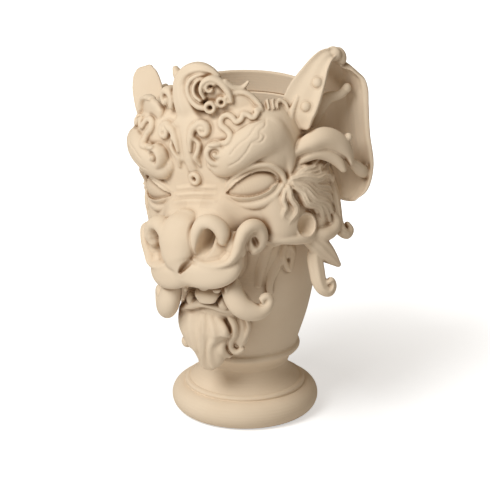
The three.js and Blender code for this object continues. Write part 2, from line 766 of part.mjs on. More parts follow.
layPair(head, 'mane', (side, grow) => join(maneStrands.map(
  (points) => strip(mirrored(points, side), { grow }))), [66, 18, 19]);
layPair(head, 'cheek_roll', (side, grow) => join([
  strip(mirrored([
    [45, 12, -25, 3, 4],
    [50, 14, -29, 4, 5],
    [58, 15, -32, 4.5, 5.5],
    [68, 15, -35, 5, 5.5],
    [77, 14, -36, 5, 5.5],
    [86, 12, -39, 4.5, 5],
    [92, 10.5, -43, 3.5, 4],
  ], side), { grow }),
  strip(mirrored([
    [73, 12, -37, 5, 4.5],
    [78, 14.5, -45, 7, 4.5],
    [83, 15.5, -54, 6.5, 4],
    [89, 16.5, -63, 3.5, 3.5],
    [94, 19, -69, 1.6, 2],
  ], side), { grow, facing: 55 * side }),
  strip(mirrored([
    [66, 8, -38, 4, 6],
    [61.5, -5, -47, 3, 5],
    [62, -8.5, -57, 3, 4],
    [66, -10.5, -65, 2.5, 3.5],
  ], side), { grow }),
]), [68, 15, -35]);
// The roll of the face brings the lock on the beast's right nearer to the cup, so it is laid further out
const rightLockRise = 8;
const lockRows = [
  [80, 6, -46, 6, 6],
  [79.5, 8, -57, 7, 6],
  [79, 10, -68, 7.5, 5.5],
  [79, 11.5, -78, 7, 5.5],
  [80.5, 13, -85.5, 6, 5],
  [83.5, 15, -88.5, 5, 4.5],
  [86, 16.5, -85, 4, 4.5],
  [85.5, 17, -79.5, 3.5, 4],
];

layPair(head, 'hanging_lock', (side, grow) => strip(mirrored(lockRows.map(
  ([angle, lift, ...rest]) => [angle, side > 0 ? lift : lift + rightLockRise, ...rest]), side), {
  grow, facing: 50 * side,
}), lockRows[0]);
layStripPair(head, 'outer_lock', [
  [99, 16, -6, 5, 4.5],
  [98, 17.5, -19, 6, 5],
  [96.5, 19.5, -31, 5.5, 5],
  [97.5, 22, -40, 4.5, 4.5],
  [102, 24, -45, 4, 4.5],
  [105.5, 25, -42.5, 3.5, 4],
  [105, 24, -37.5, 3, 3.5],
], { facing: 60 });

// Mouth, tusks and beard

lay(head, 'upper_teeth', onCup(0, 28, -58), (grow) => join([
  strip([[-14, 24, -56, 4, 5], [0, 27, -55, 4, 5], [20, 24, -58, 4, 5]], { grow, facing: 4 }),
  blob([-5, 29.5, -59], [2.5, 2.5, 6], { grow }),
  blob([7, 29.5, -60], [5, 2.5, 4], { grow }),
  blob([14, 29, -62], [4, 2.5, 4], { grow }),
]));
lay(jaw, 'tongue', onCup(6, 12, 0), (grow) => strip([
  [9, -2, 0, 10, 3.5],
  [8, 8, 3, 13, 4],
  [8, 15, 3.5, 13.5, 4],
  [8, 20, 0.5, 12, 3.5],
  [8, 21, -4, 9, 3],
], { grow, facing: 0, tilt: 80 }));
lay(jaw, 'lower_teeth', onCup(0, 12, -7), (grow) => join([
  strip([[-14, 10, -9, 3, 4], [2, 11.5, -7, 3, 4], [17, 10, -10, 3, 4]], { grow }),
  blob([-8, 13, -5], [3, 3, 5], { grow }),
  blob([16.5, 13, -7], [4.5, 4, 5.5], { grow }),
]));

// The tusk on the beast's right stands further round and is wider
const tuskRows = [
  [23, 21, 16, 7.5, 7],
  [24, 22.5, 8, 9, 8.5],
  [25.5, 23.5, -1, 10, 9],
  [28.5, 24, -9, 9.5, 9],
  [33, 23, -14, 9, 8],
  [38, 21.5, -15.5, 7, 7],
  [42.5, 20.5, -12.5, 5.5, 6],
  [44.5, 20, -7.5, 4, 5],
  [43, 20.5, -3.5, 3.5, 4.5],
  [40.5, 21.5, -5, 3, 4.5],
];
const rightTuskTurn = 6;
const rightTuskWidth = 1;

layPair(tusks, 'tusk', (side, grow) => strip(mirrored(tuskRows.map(
  ([angle, lift, height, width, thickness]) => (side > 0
    ? [angle, lift, height, width, thickness]
    : [angle - rightTuskTurn, lift, height, width + rightTuskWidth, thickness])), side), {
  grow, facing: 35 * side,
}), tuskRows[0]);
lay(beard, 'beard', onCup(0, 5, 0), (grow) => join([
  strip([
    [0, 3, 17, 18, 6.5],
    [-1.5, 4, 9, 26, 8.5],
    [-3, 3.5, -1, 27, 9.5],
    [-2, 2, -11, 22, 9.5],
    [1, 0, -20, 17, 9],
    [1, -1.5, -29, 12, 7.5],
    [-2, -2.5, -37, 6, 5],
  ], { grow }),
  blob([-16.5, 4, -19], [4.5, 4.5, 5], { grow }),
  strip([[1, 8.5, 17, 3, 3], [1.5, 12.5, 6, 3, 3], [1, 12, -9, 3, 3], [-1, 6.5, -25, 3, 3]], { grow }),
  strip([[8, 8.5, 14, 2.5, 3], [9.5, 12.5, 1, 2.5, 3], [6, 9.5, -13, 2.5, 3], [4, 6.5, -24, 2.5, 3]],
    { grow }),
]));
layPair(beard, 'beard_lock', (side, grow) => strip(mirrored([
  [19, 4, 14, 3.5, 4.5],
  [22, 4, 6, 3.5, 4.5],
  [21.5, 2, -2, 3.5, 4.5],
  [18.5, 0, -10, 3.5, 4.5],
  [18, -2, -17, 3.5, 4],
  [22, -4, -21.5, 3.5, 4],
  [26.5, -4.5, -19, 3, 3.5],
], side), { grow }).add(strip(mirrored([
  [30, 0, 13, 2.5, 3.5],
  [32, -0.5, 5, 2.5, 3.5],
  [29, -3, -7, 2.5, 3.5],
  [24, -4.5, -19, 2.5, 3.5],
], side), { grow })), [19, 4, 14]);

export default vase;
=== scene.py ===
# %% [markdown]
# # A beast-head vase in pale earthenware
# The vase is a turned pedestal cup. Rolls, pads, strips and leaves of clay are luted to its upper half, and
# together they make a beast's head. The CAD frame gives every section's place and size. This lesson gives
# each one its soft, modelled surface, and the clay its colour and grain.

# %% Load the frame
import json
import math

import bpy
import numpy as np
import openvdb
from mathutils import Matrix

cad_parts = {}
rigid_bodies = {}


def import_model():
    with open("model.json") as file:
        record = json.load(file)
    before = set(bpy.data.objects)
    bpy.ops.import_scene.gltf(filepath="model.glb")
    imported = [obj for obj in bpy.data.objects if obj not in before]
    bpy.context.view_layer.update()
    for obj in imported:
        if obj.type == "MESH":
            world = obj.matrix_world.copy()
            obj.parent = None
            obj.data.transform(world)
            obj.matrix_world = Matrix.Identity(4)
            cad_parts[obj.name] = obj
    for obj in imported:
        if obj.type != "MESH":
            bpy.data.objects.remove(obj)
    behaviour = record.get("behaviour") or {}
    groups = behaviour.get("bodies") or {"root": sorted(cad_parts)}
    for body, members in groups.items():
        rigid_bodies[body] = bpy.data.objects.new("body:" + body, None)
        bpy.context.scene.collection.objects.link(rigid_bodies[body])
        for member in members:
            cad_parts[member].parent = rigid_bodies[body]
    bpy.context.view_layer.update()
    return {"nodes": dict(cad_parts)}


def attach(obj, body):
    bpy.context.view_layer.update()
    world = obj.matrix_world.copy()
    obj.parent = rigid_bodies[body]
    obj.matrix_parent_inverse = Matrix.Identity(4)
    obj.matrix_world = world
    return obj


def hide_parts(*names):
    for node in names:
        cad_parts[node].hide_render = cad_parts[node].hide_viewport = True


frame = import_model()
print("nodes in the frame:", len(frame["nodes"]))

# %% [markdown]
# ## The camera
# The camera stands to the beast's left and a little above it, far away behind a long lens, so the foot and
# the mouth are both seen as narrow ellipses. An angle round the vase, an angle above it and a distance say
# where a camera is better than three coordinates do.

# %% Camera
azimuth = math.radians(35.0)
elevation = math.radians(19.5)
distance = 2.2
aim = (0.0, 0.0, 0.157)
pixels_per_focal = 2444.4
image_width = 490
sensor = 36.0

back = np.array([math.sin(azimuth) * math.cos(elevation),
                 -math.cos(azimuth) * math.cos(elevation), math.sin(elevation)])
camera_data = bpy.data.cameras.new("camera")
camera_data.sensor_width = sensor
camera_data.lens = sensor * pixels_per_focal / image_width
camera = bpy.data.objects.new("camera", camera_data)
bpy.context.scene.collection.objects.link(camera)
camera.location = np.array(aim) + back * distance
camera.rotation_euler = (math.pi / 2 - elevation, 0.0, azimuth)
bpy.context.scene.camera = camera
print("camera at", np.round(camera.location, 3))

# %% [markdown]
# ## Measures
# The turned sizes are those of the solids, in millimetres. The head is modelled upright in its own frame
# and then rolled a little to one side, and the jaw and the beard have frames of their own below it. Each
# frame is a shift to the side, a height and a roll in degrees. The grain is the step of the distance fields,
# which reach 8 steps to both sides of a surface. The degree is the length of one 8 mm above the belly.

# %% Measures in millimetres
grain = 0.965
reach = 8
strip_sides, ball_sides, slice_sides, field_sides, wheel_sides = 36, 40, 120, 192, 200
foot_height, foot_radius, foot_contact, foot_shoulder = 25.0, 66.6, 58.0, 55.0
bead_radius, bead_height = 53.5, 3.5
neck_radius, neck_height = 38.8, 47.0
collar_radius, collar_height, collar_top = 49.8, 62.5, 69.0
wall, bore, base_thickness = 6.0, 26.0, 8.0
belly_radius, belly_height = 67.0, 190.0
degree = math.radians(belly_radius + 8)
rim_radius, rim_height, rim_depth, rim_ledge = 58.0, 303.0, 20.0, 2.0
groups = {"vessel": (0.0, 0.0, 0.0), "head": (0.0, rim_height - 98.0, 12.0),
          "jaw": (8.0, rim_height - 168.0, 8.0), "beard": (8.0, rim_height - 203.0, 0.0)}
print("clay grain", grain, "mm, a degree", round(degree, 3), "mm")

# %% [markdown]
# ## Surfaces from curves
# Nearly every section is a strip of clay: a section carried along a path. The path's points are written
# as an angle round the cup, a lift above the belly and a height, because that is how a potter would place
# them. Between the points the path is a smooth cubic.

# %% Paths
def on_cup(rows, side=1):
    """Rows of angle, lift, height and sizes become x, y, z and sizes: x is radius times the sine of the
    angle, and y is minus radius times its cosine, so angle 0 is the middle of the face."""
    rows = np.atleast_2d(np.asarray(rows, float))
    turn = np.radians(rows[:, 0]) * side
    radius = belly_radius + rows[:, 1]
    return np.column_stack([radius * np.sin(turn), -radius * np.cos(turn), rows[:, 2:]])


def smooth_rows(rows, spacing):
    """A cubic through all rows: its slope at a row is the weighted mean of the steps on both sides, and
    the parameter is the sum of the square roots of the chords."""
    chords = np.linalg.norm(np.diff(rows[:, :3], axis=0), axis=1)
    knots = np.concatenate([[0.0], np.cumsum(np.sqrt(chords + 1e-9))])
    slopes = np.gradient(rows, knots, axis=0)
    count = max(int(chords.sum() / spacing), 3) + 1
    at = np.linspace(0.0, knots[-1], count)
    low = np.clip(np.searchsorted(knots, at, side="right") - 1, 0, len(knots) - 2)
    span = (knots[low + 1] - knots[low])[:, None]
    u = (at - knots[low])[:, None] / span
    return ((2 * u**3 - 3 * u**2 + 1) * rows[low] + (u**3 - 2 * u**2 + u) * span * slopes[low]
            + (3 * u**2 - 2 * u**3) * rows[low + 1] + (u**3 - u**2) * span * slopes[low + 1])


print("points between two rows:", len(smooth_rows(on_cup([(0, 0, 0), (30, 0, 0)]), 1.0)))

# %% Closed surfaces
def unit(vectors):
    """Each vector over its own length."""
    return vectors / np.maximum(np.linalg.norm(vectors, axis=-1, keepdims=True), 1e-9)


def squared(wave, power):
    """A cosine or sine whose size is raised to a power below 1, which makes a circle boxy."""
    return np.sign(wave) * np.abs(wave) ** power


def rolled(degrees):
    """The roll about the y axis: x cos - z sin, y, x sin + z cos."""
    cos, sin = math.cos(math.radians(degrees)), math.sin(math.radians(degrees))
    return np.array([[cos, 0, -sin], [0, 1, 0], [sin, 0, cos]])


def ring_surface(start, rings, end):
    """Rings of points, each joined to the next by four-sided faces, and closed by a fan at each pole."""
    count, around = rings.shape[:2]
    points = np.vstack([start[None], rings.reshape(-1, 3), end[None]])
    index = 1 + np.arange(count * around).reshape(count, around)
    beside = np.roll(index, -1, axis=1)
    quads = np.stack([index[:-1], beside[:-1], beside[1:], index[1:]], -1).reshape(-1, 4)
    first = np.column_stack([np.zeros(around, int), beside[0], index[0]])
    last = np.column_stack([index[-1], beside[-1], np.full(around, len(points) - 1)])
    return points, np.vstack([first, last]), quads


print("a roll of 12 degrees:", np.round(rolled(12), 3).tolist())

# %% Strips
def ribbon(rows, side=1, facing=None, tilt=0.0, dish=0.0, flutes=0, flute=0.0, square=1.0, roll=0.0):
    """A strip along a path. Its section is width times cosine across and thickness times sine outward,
    plus a dish that grows with the square of the cosine and flutes that are a cosine wave over the front.
    A roll thickens both edges by the sixth power of the cosine. Half an ellipsoid closes each end."""
    path = smooth_rows(on_cup(rows, side), 0.75 * grain)
    centre, width, thick = path[:, :3], np.maximum(path[:, 3], 0.5), np.maximum(path[:, 4], 0.5)
    tangent = unit(np.gradient(centre, axis=0))
    outward = unit(centre * [1, 1, 0])
    if facing is not None:
        turn = math.radians(facing * side)
        outward = np.array([[math.sin(turn), -math.cos(turn), math.tan(math.radians(tilt))]])
    outward = unit(outward - tangent * (outward * tangent).sum(1, keepdims=True))
    across = np.cross(outward, tangent)
    caps = np.radians([75, 50, 25])
    order = np.concatenate([np.zeros(3, int), np.arange(len(path)), np.full(3, len(path) - 1)])
    push = np.concatenate([-np.sin(caps), np.zeros(len(path)), np.sin(caps[::-1])])
    shrink = np.concatenate([np.cos(caps), np.ones(len(path)), np.cos(caps[::-1])])[:, None]
    end = np.minimum(width, thick)[order][:, None]
    turn = np.linspace(0, 2 * np.pi, strip_sides, endpoint=False)
    reach_across = squared(np.cos(turn), square)
    reach_out = squared(np.sin(turn), square) * (1 + roll * reach_across**6)
    wave = flute * np.cos(np.pi * flutes * reach_across) * np.clip(np.sin(turn) * 2, 0, 1)
    side_part = width[order][:, None] * reach_across * shrink
    out_part = (thick[order][:, None] * reach_out + dish * reach_across**2 + wave) * shrink
    rings = ((centre[order] + tangent[order] * push[:, None] * end)[:, None]
             + across[order][:, None] * side_part[..., None] + outward[order][:, None] * out_part[..., None])
    return ring_surface(centre[0] - tangent[0] * end[0], rings, centre[-1] + tangent[-1] * end[-1])


print("points of a short strip:", len(ribbon([(0, 0, 0, 5, 3), (20, 0, 0, 5, 3)])[0]))

# %% Balls and masses
def ball(place, size, side=1, facing=None, lean=0.0):
    """An ellipsoid: latitude rings of cosine by cosine, cosine by sine and sine, times one radius or the
    half sizes across, in depth and in height, leant in its own plane and then turned to face its angle."""
    along, around = np.meshgrid(np.radians(np.linspace(-84, 84, 29)),
                                np.linspace(0, 2 * np.pi, ball_sides, False), indexing="ij")
    rings = np.stack([np.cos(along) * np.cos(around), np.cos(along) * np.sin(around), np.sin(along)], -1)
    turn = math.radians((place[0] if facing is None else facing) * side)
    cos, sin = math.cos(turn), math.sin(turn)
    carry = np.array([[cos, -sin, 0], [sin, cos, 0], [0, 0, 1]]) @ rolled(-lean * side) * size
    middle = on_cup([place], side)[0]
    return ring_surface(middle - carry[:, 2], rings @ carry.T + middle, middle + carry[:, 2])


def mass(slices, side=1, square=0.8):
    """Level slices of height, middle x, front lift, back y and half width, with a squared ellipse as
    plan, blended by a cubic over the height."""
    rows = np.array([[0, 0, height, middle * side, -(belly_radius + lift), behind, half]
                     for height, middle, lift, behind, half in slices], float)
    fine = smooth_rows(rows, grain)
    turn = np.linspace(0, 2 * np.pi, slice_sides, endpoint=False)
    height, middle, front, behind, half = fine[:, 2:].T[..., None]
    rings = np.stack([middle + half * squared(np.cos(turn), square),
                      (front + behind) / 2 + (behind - front) / 2 * squared(np.sin(turn), square),
                      np.repeat(height, len(turn), 1)], -1)
    return ring_surface(rings[0].mean(0), rings, rings[-1].mean(0))


print("points of a ball:", len(ball((0, 0, 0), 5)[0]))

# %% Turned surfaces, and the frames that carry a surface
def spun(profile, sides):
    """Rows of radius and height, carried round the vase's axis: radius times cosine and times sine."""
    profile = np.asarray(profile, float)
    turn = np.linspace(0, 2 * np.pi, sides, endpoint=False)
    return np.stack([profile[:, :1] * np.cos(turn), profile[:, :1] * np.sin(turn),
                     np.repeat(profile[:, 1:], sides, 1)], -1)


def turned(profile):
    """A solid of revolution: its profile's rings, closed at both ends."""
    rings = spun(profile, field_sides)
    return ring_surface(rings[0].mean(0), rings, rings[-1].mean(0))


def carried(surface, group):
    """The head's, jaw's or beard's own frame: a roll about the y axis, and then a shift to its place."""
    shift, height, roll = groups[group]
    return surface[0] @ rolled(roll).T + [shift, 0, height], *surface[1:]


print("frames:", ", ".join(groups))

# %% [markdown]
# ## Clay that blends
# Wet clay smears into its neighbours where it is luted. Meshes that only cross each other keep a hard,
# dry seam, so the sections are turned into distance fields: boxes of numbers that say how far each point
# is from the clay. Two fields joined by a smooth minimum have a small fillet at their seam.

# %% Smooth joins
def joined(first, second, blend):
    """Smooth minimum: the lesser of two distances, less a quarter of the blend times the square of how
    closely the two agree."""
    agree = np.maximum(blend - np.abs(first - second), 0) / blend
    return np.minimum(first, second) - agree * agree * blend / 4


print("fillet of two equal distances, blend 3:", joined(0.0, 0.0, 3.0), "mm")

# %% Distance fields
class Clay:
    """The whole head as one field, with each section's own field kept beside it."""

    def __init__(self, low, high):
        self.low = np.floor(np.array(low) / grain).astype(int)
        self.shape = np.ceil(np.array(high) / grain).astype(int) - self.low
        self.full = reach * grain
        self.skin, self.nearest, self.second, self.mouth = (
            np.full(self.shape, self.full, np.float32) for _ in range(4))
        self.owner = np.full(self.shape, -1, np.int16)
        self.sections = {}

    def field(self, surfaces, group="vessel"):
        """The box round some surfaces, and the distance of each lattice point in it from the nearest."""
        surfaces = [carried(surface, group) for surface in surfaces]
        points = np.vstack([surface[0] for surface in surfaces])
        starts = np.cumsum([0] + [len(surface[0]) for surface in surfaces[:-1]])
        triangles = np.vstack([surface[1] + start for surface, start in zip(surfaces, starts)])
        quads = np.vstack([surface[2] + start for surface, start in zip(surfaces, starts)])
        grid = openvdb.FloatGrid.createLevelSetFromPolygons(
            points.astype(np.float32), triangles=triangles.astype(np.uint32), quads=quads.astype(np.uint32),
            transform=openvdb.createLinearTransform(voxelSize=grain), halfWidth=float(reach))
        low = np.maximum(np.floor(points.min(0) / grain).astype(int) - reach, self.low)
        high = np.minimum(np.ceil(points.max(0) / grain).astype(int) + reach, self.low + self.shape)
        values = np.full(high - low, self.full, np.float32)
        grid.copyToArray(values, ijk=tuple(int(v) for v in low))
        box = tuple(slice(a, b) for a, b in zip(low - self.low, high - self.low))
        return box, values

    def base(self, body, mouth):
        """The cup's body is the first clay. Its mouth is kept free of all clay but the crest's, which
        stands on the rim."""
        box, values = self.field([body])
        self.skin[box] = values
        self.core = self.skin.copy()
        box, values = self.field([mouth])
        self.mouth[box] = values

    def add(self, name, surfaces, blend, group="head", inner=0.0):
        """A new section: its own surfaces blend by the inner width, and it joins the skin by the blend."""
        box, values = self.field(surfaces, group)
        for surface in surfaces[1:] if inner else []:
            part_box, part = self.field([surface], group)
            spot = tuple(slice(p.start - b.start, p.stop - b.start) for p, b in zip(part_box, box))
            values[spot] = joined(values[spot], part, inner)
        number = len(self.sections)
        closest, next_one, owner = self.nearest[box], self.second[box], self.owner[box]
        wins = values < closest
        self.second[box] = np.where(wins, closest, np.minimum(next_one, values))
        self.nearest[box] = np.where(wins, values, closest)
        self.owner[box] = np.where(wins, number, owner)
        self.skin[box] = joined(self.skin[box], values, blend)
        self.sections[name] = (number, box, values, blend)

    def carve(self, surfaces, blend):
        """Clay dug out: minus the smooth minimum of the skin turned inside out and the tool."""
        box, values = self.field(surfaces, "head")
        self.skin[box] = -joined(-self.skin[box], values, blend)

    def press(self, surfaces, blend, group="head"):
        """Small ridges that belong to whatever section they lie on."""
        box, values = self.field(surfaces, group)
        self.skin[box] = joined(self.skin[box], values, blend)

    def sample(self, values, points, low=None):
        """The field between its lattice points: the mean of the eight corners, weighted by nearness."""
        at = points / grain - (self.low if low is None else low)
        cell = np.clip(np.floor(at).astype(int), 0, np.array(values.shape) - 2)
        part = np.clip(at - cell, 0, 1)
        total = 0
        for corner in np.ndindex(2, 2, 2):
            weight = np.prod(np.where(corner, part, 1 - part), axis=1)
            total = total + weight * values[tuple((cell + corner).T)]
        return total

    def slope(self, values, points, low=None):
        """The field's steepest way out: half differences along the three axes, made one long."""
        step = np.eye(3) * grain * 0.75
        return unit(np.column_stack([self.sample(values, points + step[axis], low)
                                     - self.sample(values, points - step[axis], low) for axis in range(3)]))

    def seated(self, rows, group, side):
        """Rows of angle, rise and height are brought down onto the skin: each looks inward along its
        radius for the first clay, and stands its rise above that."""
        lifts = np.arange(probe_top, probe_end, -0.5)
        probe = np.repeat(rows[:, None, :3], len(lifts), 1)
        probe[..., 1] = lifts
        places = carried([on_cup(probe.reshape(-1, 3), side)], group)[0]
        inside = self.sample(self.skin, places).reshape(len(rows), -1) < 0
        first = np.where(inside.any(1), inside.argmax(1), len(lifts) - 1)
        rows[:, 1] += lifts[first]
        return rows

    def piece(self, name):
        """A section's own share of the skin. Past its seam with a neighbour it sinks under the skin, it
        ends a little way inside the neighbour, and it reaches about half way into the cup's wall."""
        number, box, values, blend = self.sections[name]
        others = np.where(self.owner[box] == number, self.second[box], self.nearest[box])
        own = self.skin[box] + sinking * np.maximum(values - others, 0)
        own = np.maximum(own, values - max(0.7 * blend, 1.6 * grain))
        own = np.maximum(own, -(self.core[box] + rooting))
        if not name.startswith("crest"):
            own = np.maximum(own, -self.mouth[box])
        own = np.pad(own, 1, constant_values=self.full).astype(np.float32)
        low = np.array([edge.start for edge in box]) + self.low - 1
        grid = openvdb.FloatGrid(self.full)
        grid.copyFromArray(own, ijk=tuple(int(v) for v in low))
        grid.transform = openvdb.createLinearTransform(voxelSize=grain)
        points, quads = grid.convertToQuads(isovalue=0.0)
        points = points.astype(float)
        outward = self.slope(self.skin, points)
        hidden = np.abs(self.sample(self.skin, points)) > 0.3 * grain
        outward[hidden] = self.slope(own, points[hidden], low)
        return points, quads, outward


sinking, rooting, field_floor = 0.35, 3.2, 56
probe_top, probe_end = 62.0, -12.0
clay = Clay(low=(-128, -122, field_floor), high=(128, 78, 358))
print("field of", clay.skin.size // 10**6, "million points")

# %% [markdown]
# ## The vessel's outline
# The cup swells from the collar to its belly and draws in again to the rim. A few radii at their heights
# and one smooth curve through them are what a potter's template is.

# %% Cup outline
cup_heights = [collar_top, 100, 145, belly_height, 246.5, rim_height]
cup_radii = [48, 57.4, 65.1, belly_radius, 63.9, rim_radius]


def cup_radius(heights):
    """The template: a cubic through the given radii, read at any height."""
    rows = np.column_stack([cup_heights, np.zeros(6), np.zeros(6), cup_radii])
    fine = smooth_rows(rows, 0.5)
    return np.interp(heights, fine[:, 0], fine[:, 3])


cup_rows = np.linspace(collar_top, rim_height, 90)
clay.base(turned(np.column_stack([cup_radius(cup_rows), cup_rows])),
          turned([(rim_radius, rim_height - 3), (rim_radius, rim_height + 60)]))
print("cup radius at the belly", round(float(cup_radius(belly_height)), 1))

# %% [markdown]
# ## The masses of the head
# The forehead, the muzzle and the cheeks are the lumps that everything else is luted to. Each is built
# from level slices, as a modeller adds clay from the bottom up, and they blend widely into each other.

# %% Sides, coils and laid strips
def both(name, build, blend, group="head", inner=0.0):
    """A section on each side of the face: the right one has minus the angles of the left."""
    for word, side in (("left", 1), ("right", -1)):
        clay.add(f"{name}_{word}", build(side), blend, group, inner)


def coil(place, radii, turns, sizes):
    """Rows of a spiral about a place: the radius goes evenly from first to last, the angle round the cup
    is the part across over a degree's length, and the height is the upright part."""
    share = np.linspace(0, 1, max(int(abs(turns[1] - turns[0]) / 30), 3) + 1)
    radius = radii[0] + (radii[1] - radii[0]) * share
    turn = np.radians(turns[0] + (turns[1] - turns[0]) * share)
    half, thick = (first + (last - first) * share for first, last in sizes)
    return np.column_stack([place[0] + radius * np.cos(turn) / degree, np.full(len(share), float(place[1])),
                            place[2] + radius * np.sin(turn), half, thick]).tolist()


def ring(place, radius, half, thick, start=60):
    """A coil of one full turn, of one radius and one size."""
    return coil(place, (radius, radius), (start, start + 360), ((half, half), (thick, thick)))


def laid(rows, side=1, group="head"):
    """A strip laid on the clay that is there: its rows give a rise above it instead of a lift, and each
    lift is then the weighted mean of five."""
    rows = np.asarray(rows, float)
    flat = np.column_stack([rows[:, 0] * degree, np.zeros(len(rows)), rows[:, 2], rows[:, 1], rows[:, 3:]])
    fine = smooth_rows(flat, 1.6)
    fine = np.column_stack([fine[:, 0] / degree, fine[:, 3], fine[:, 2], fine[:, 4:]])
    seated = clay.seated(fine, group, side)
    padded = np.pad(seated[:, 1], 2, mode="edge")
    seated[:, 1] = np.convolve(padded, [0.1, 0.2, 0.4, 0.2, 0.1], "valid")
    return ribbon(seated, side)


print("rows of a ring:", len(ring((0, 0, 0), 4, 2, 3)))

# %% Masses
clay.add("forehead", [mass([
    (6, 0, 3, 22, 66), (22, 0, 1, 28, 76), (42, 0, 3, 32, 84), (62, 0, 4, 32, 84),
    (78, 0, 1, 28, 78), (89, 0, -5, 20, 68), (95, 0, -9, 14, 58)])], 4)
clay.add("muzzle", [mass([
    (-59, 2, 25, -50, 22), (-53, 1, 31, -50, 32), (-45, 1, 34, -50, 36.5), (-28, 0, 34, -50, 37.5),
    (-12, 0, 30, -50, 38.5), (1, 0, 19, -50, 34), (11, 0, 9, -50, 27), (19, 0, 2, -50, 20)])], 6)
both("cheek", lambda side: [
    mass([(-36, 55, -18, 14, 18), (-28, 57, -12, 24, 23), (-10, 57, -11, 30, 25),
          (7.5, 56.5, -12, 32, 23.5)], side),
    ribbon([(20, 4, 3, 9, 8), (32, 3, -5, 11, 9), (45, 4, -9, 12, 9), (58, 5, -10, 12, 9)], side)],
    6, inner=6)
clay.add("jaw", [
    mass([(-28, 0, 2, -40, 22), (-20, 0, 9, -40, 29), (-12, 0, 11, -40, 30), (-6, 0, 8, -40, 27)]),
    ribbon([(-22, 8, -18, 3, 3.5), (-16, 12, -14, 3, 3.5), (-8, 13, -12, 3, 3.5), (0, 13, -9, 3, 3.5),
            (8, 13, -10, 3, 3.5), (15, 11, -14, 3, 3.5), (22, 7, -16, 3, 3.5)])], 2, "jaw", inner=2)
print("sections:", len(clay.sections))

# %% [markdown]
# ## Muzzle
# The nose is one thick pull of clay down the middle. Each nostril is a coil bent over it like an arch, and
# the hole under the arch is dug out afterwards. A pad of clay makes the upper lip, and its upper edge is
# rolled on into the scroll at the cheek.

# %% Muzzle
clay.add("nose", [ribbon([
    (-2, 18, 0, 12, 8), (-2.5, 26, -6, 16.5, 11), (-3, 31, -14.5, 18.5, 12.5), (-3, 32.5, -24, 18, 13),
    (-2.5, 33.5, -33, 15, 12.5), (-1.5, 35, -41, 9.5, 9.5), (-2, 36, -47.5, 4.5, 6)], square=0.9)], 1.5)
both("nostril", lambda side: [ribbon([
    (8.5, 33, -27, 3.5, 5), (8.5, 33, -18, 5, 7), (10.5, 32, -8.5, 6.3, 8), (14, 31, -2.5, 7, 8.5),
    (18.5, 31, -3, 7, 8.5), (22, 31, -8.5, 7, 8.5), (23, 31, -14.5, 6.5, 8), (22.5, 31, -19, 5, 6.5)],
    side)], 1.5)
both("lip_scroll", lambda side: [
    ribbon([(-3, 32, -43, 11, 8.5), (2, 32.5, -45, 11.5, 9), (9, 32.5, -47.5, 12.5, 9),
            (17, 32, -47.5, 12.5, 9), (22, 30, -44.5, 11.5, 9), (25, 26.5, -38, 9, 8)], side, square=0.75),
    ball((36.5, 20, -24), (8, 8, 11), side), ball((27.5, 24, -27), (9, 9, 12), side),
    ribbon([(7, 35, -33, 1.4, 3), (12, 36, -38, 2, 3.6), (19, 36.5, -40, 2.2, 4), (25, 35.5, -37, 2.6, 4.4),
            (28.5, 32.5, -30, 4, 5.6), (30.8, 30.5, -21.5, 5, 6.8), (33.5, 28, -15, 5.3, 7),
            (37.2, 25, -11.8, 5.3, 7), (40.8, 22, -13.8, 5.2, 6.6), (42.6, 20, -20, 5, 6.2),
            (42, 19, -27, 4.6, 5.6), (39.4, 19.5, -32, 4.2, 5.2), (36.8, 22, -34, 3, 4.5)], side)],
    2.5, inner=3)
for side in (1, -1):
    hole = [(16, 33, -11.5, 4.8, 20), (14.5, 33, -17, 5.6, 18), (12.5, 36, -23.5, 5.4, 10)]
    hole += [(10, 40, -29, 4, 6), (8, 42, -33, 2, 4)] if side > 0 else []
    clay.carve([ribbon(hole, side)], 3)
    clay.carve([ball((38.5, 30, -26), (3, 9, 5.6), side, lean=-14)], 1.6)
clay.carve([ribbon([(7.5, 44, -32, 1.6, 5), (4.5, 44, -35, 3.2, 7), (1.5, 43.5, -39, 2.6, 6),
                    (-0.5, 43, -42.5, 1.2, 4)])], 1)
print("sections:", len(clay.sections))

# %% [markdown]
# ## Eyes and brows
# The eye is a plain bulging almond. Two lids lie round it, each with a fold outside. The brow is the
# biggest roll of the head: it starts as a scroll at the bridge, swells over the eye and drapes to a point
# at its outer corner. A wire has drawn its veins.

# %% Eyes
both("upper_lid", lambda side: [
    ball((43.5, 3.5, 22), (24, 15.2, 15.6), side, facing=24, lean=-6),
    ribbon([(23, 0, 16, 2, 3), (29, 5.5, 25.5, 3, 4), (39, 12, 35.4, 3.2, 4.6), (48, 16.5, 38.4, 3.2, 4.6),
            (55, 18, 35.4, 3, 4.5), (60.5, 17.5, 27, 2.8, 4), (62.5, 17, 18, 2.4, 3.4)], side)],
    0.8, inner=1)
both("lower_lid", lambda side: [
    ball((43.5, 3.5, 17.5), (24.5, 15.4, 15), side, facing=24, lean=-6),
    ribbon([(24, 0.5, 13.5, 2, 3), (32, 5.5, 6, 3.6, 4), (40, 9.6, 3.4, 4.6, 4.6), (48, 13, 4.4, 4.8, 4.6),
            (55, 15, 8.6, 4, 4.4), (60.5, 16.5, 16, 2.4, 3.6)], side),
    ribbon([(25, 0, 9, 1.6, 2.6), (32, 4.2, 0.2, 2, 3), (40, 8.4, -3.2, 2.2, 3.2),
            (48, 11.4, -2.4, 2.2, 3.2), (55, 13.8, 2, 2, 3), (61, 15.6, 10.5, 1.6, 2.6)], side)],
    0.8, inner=1.2)
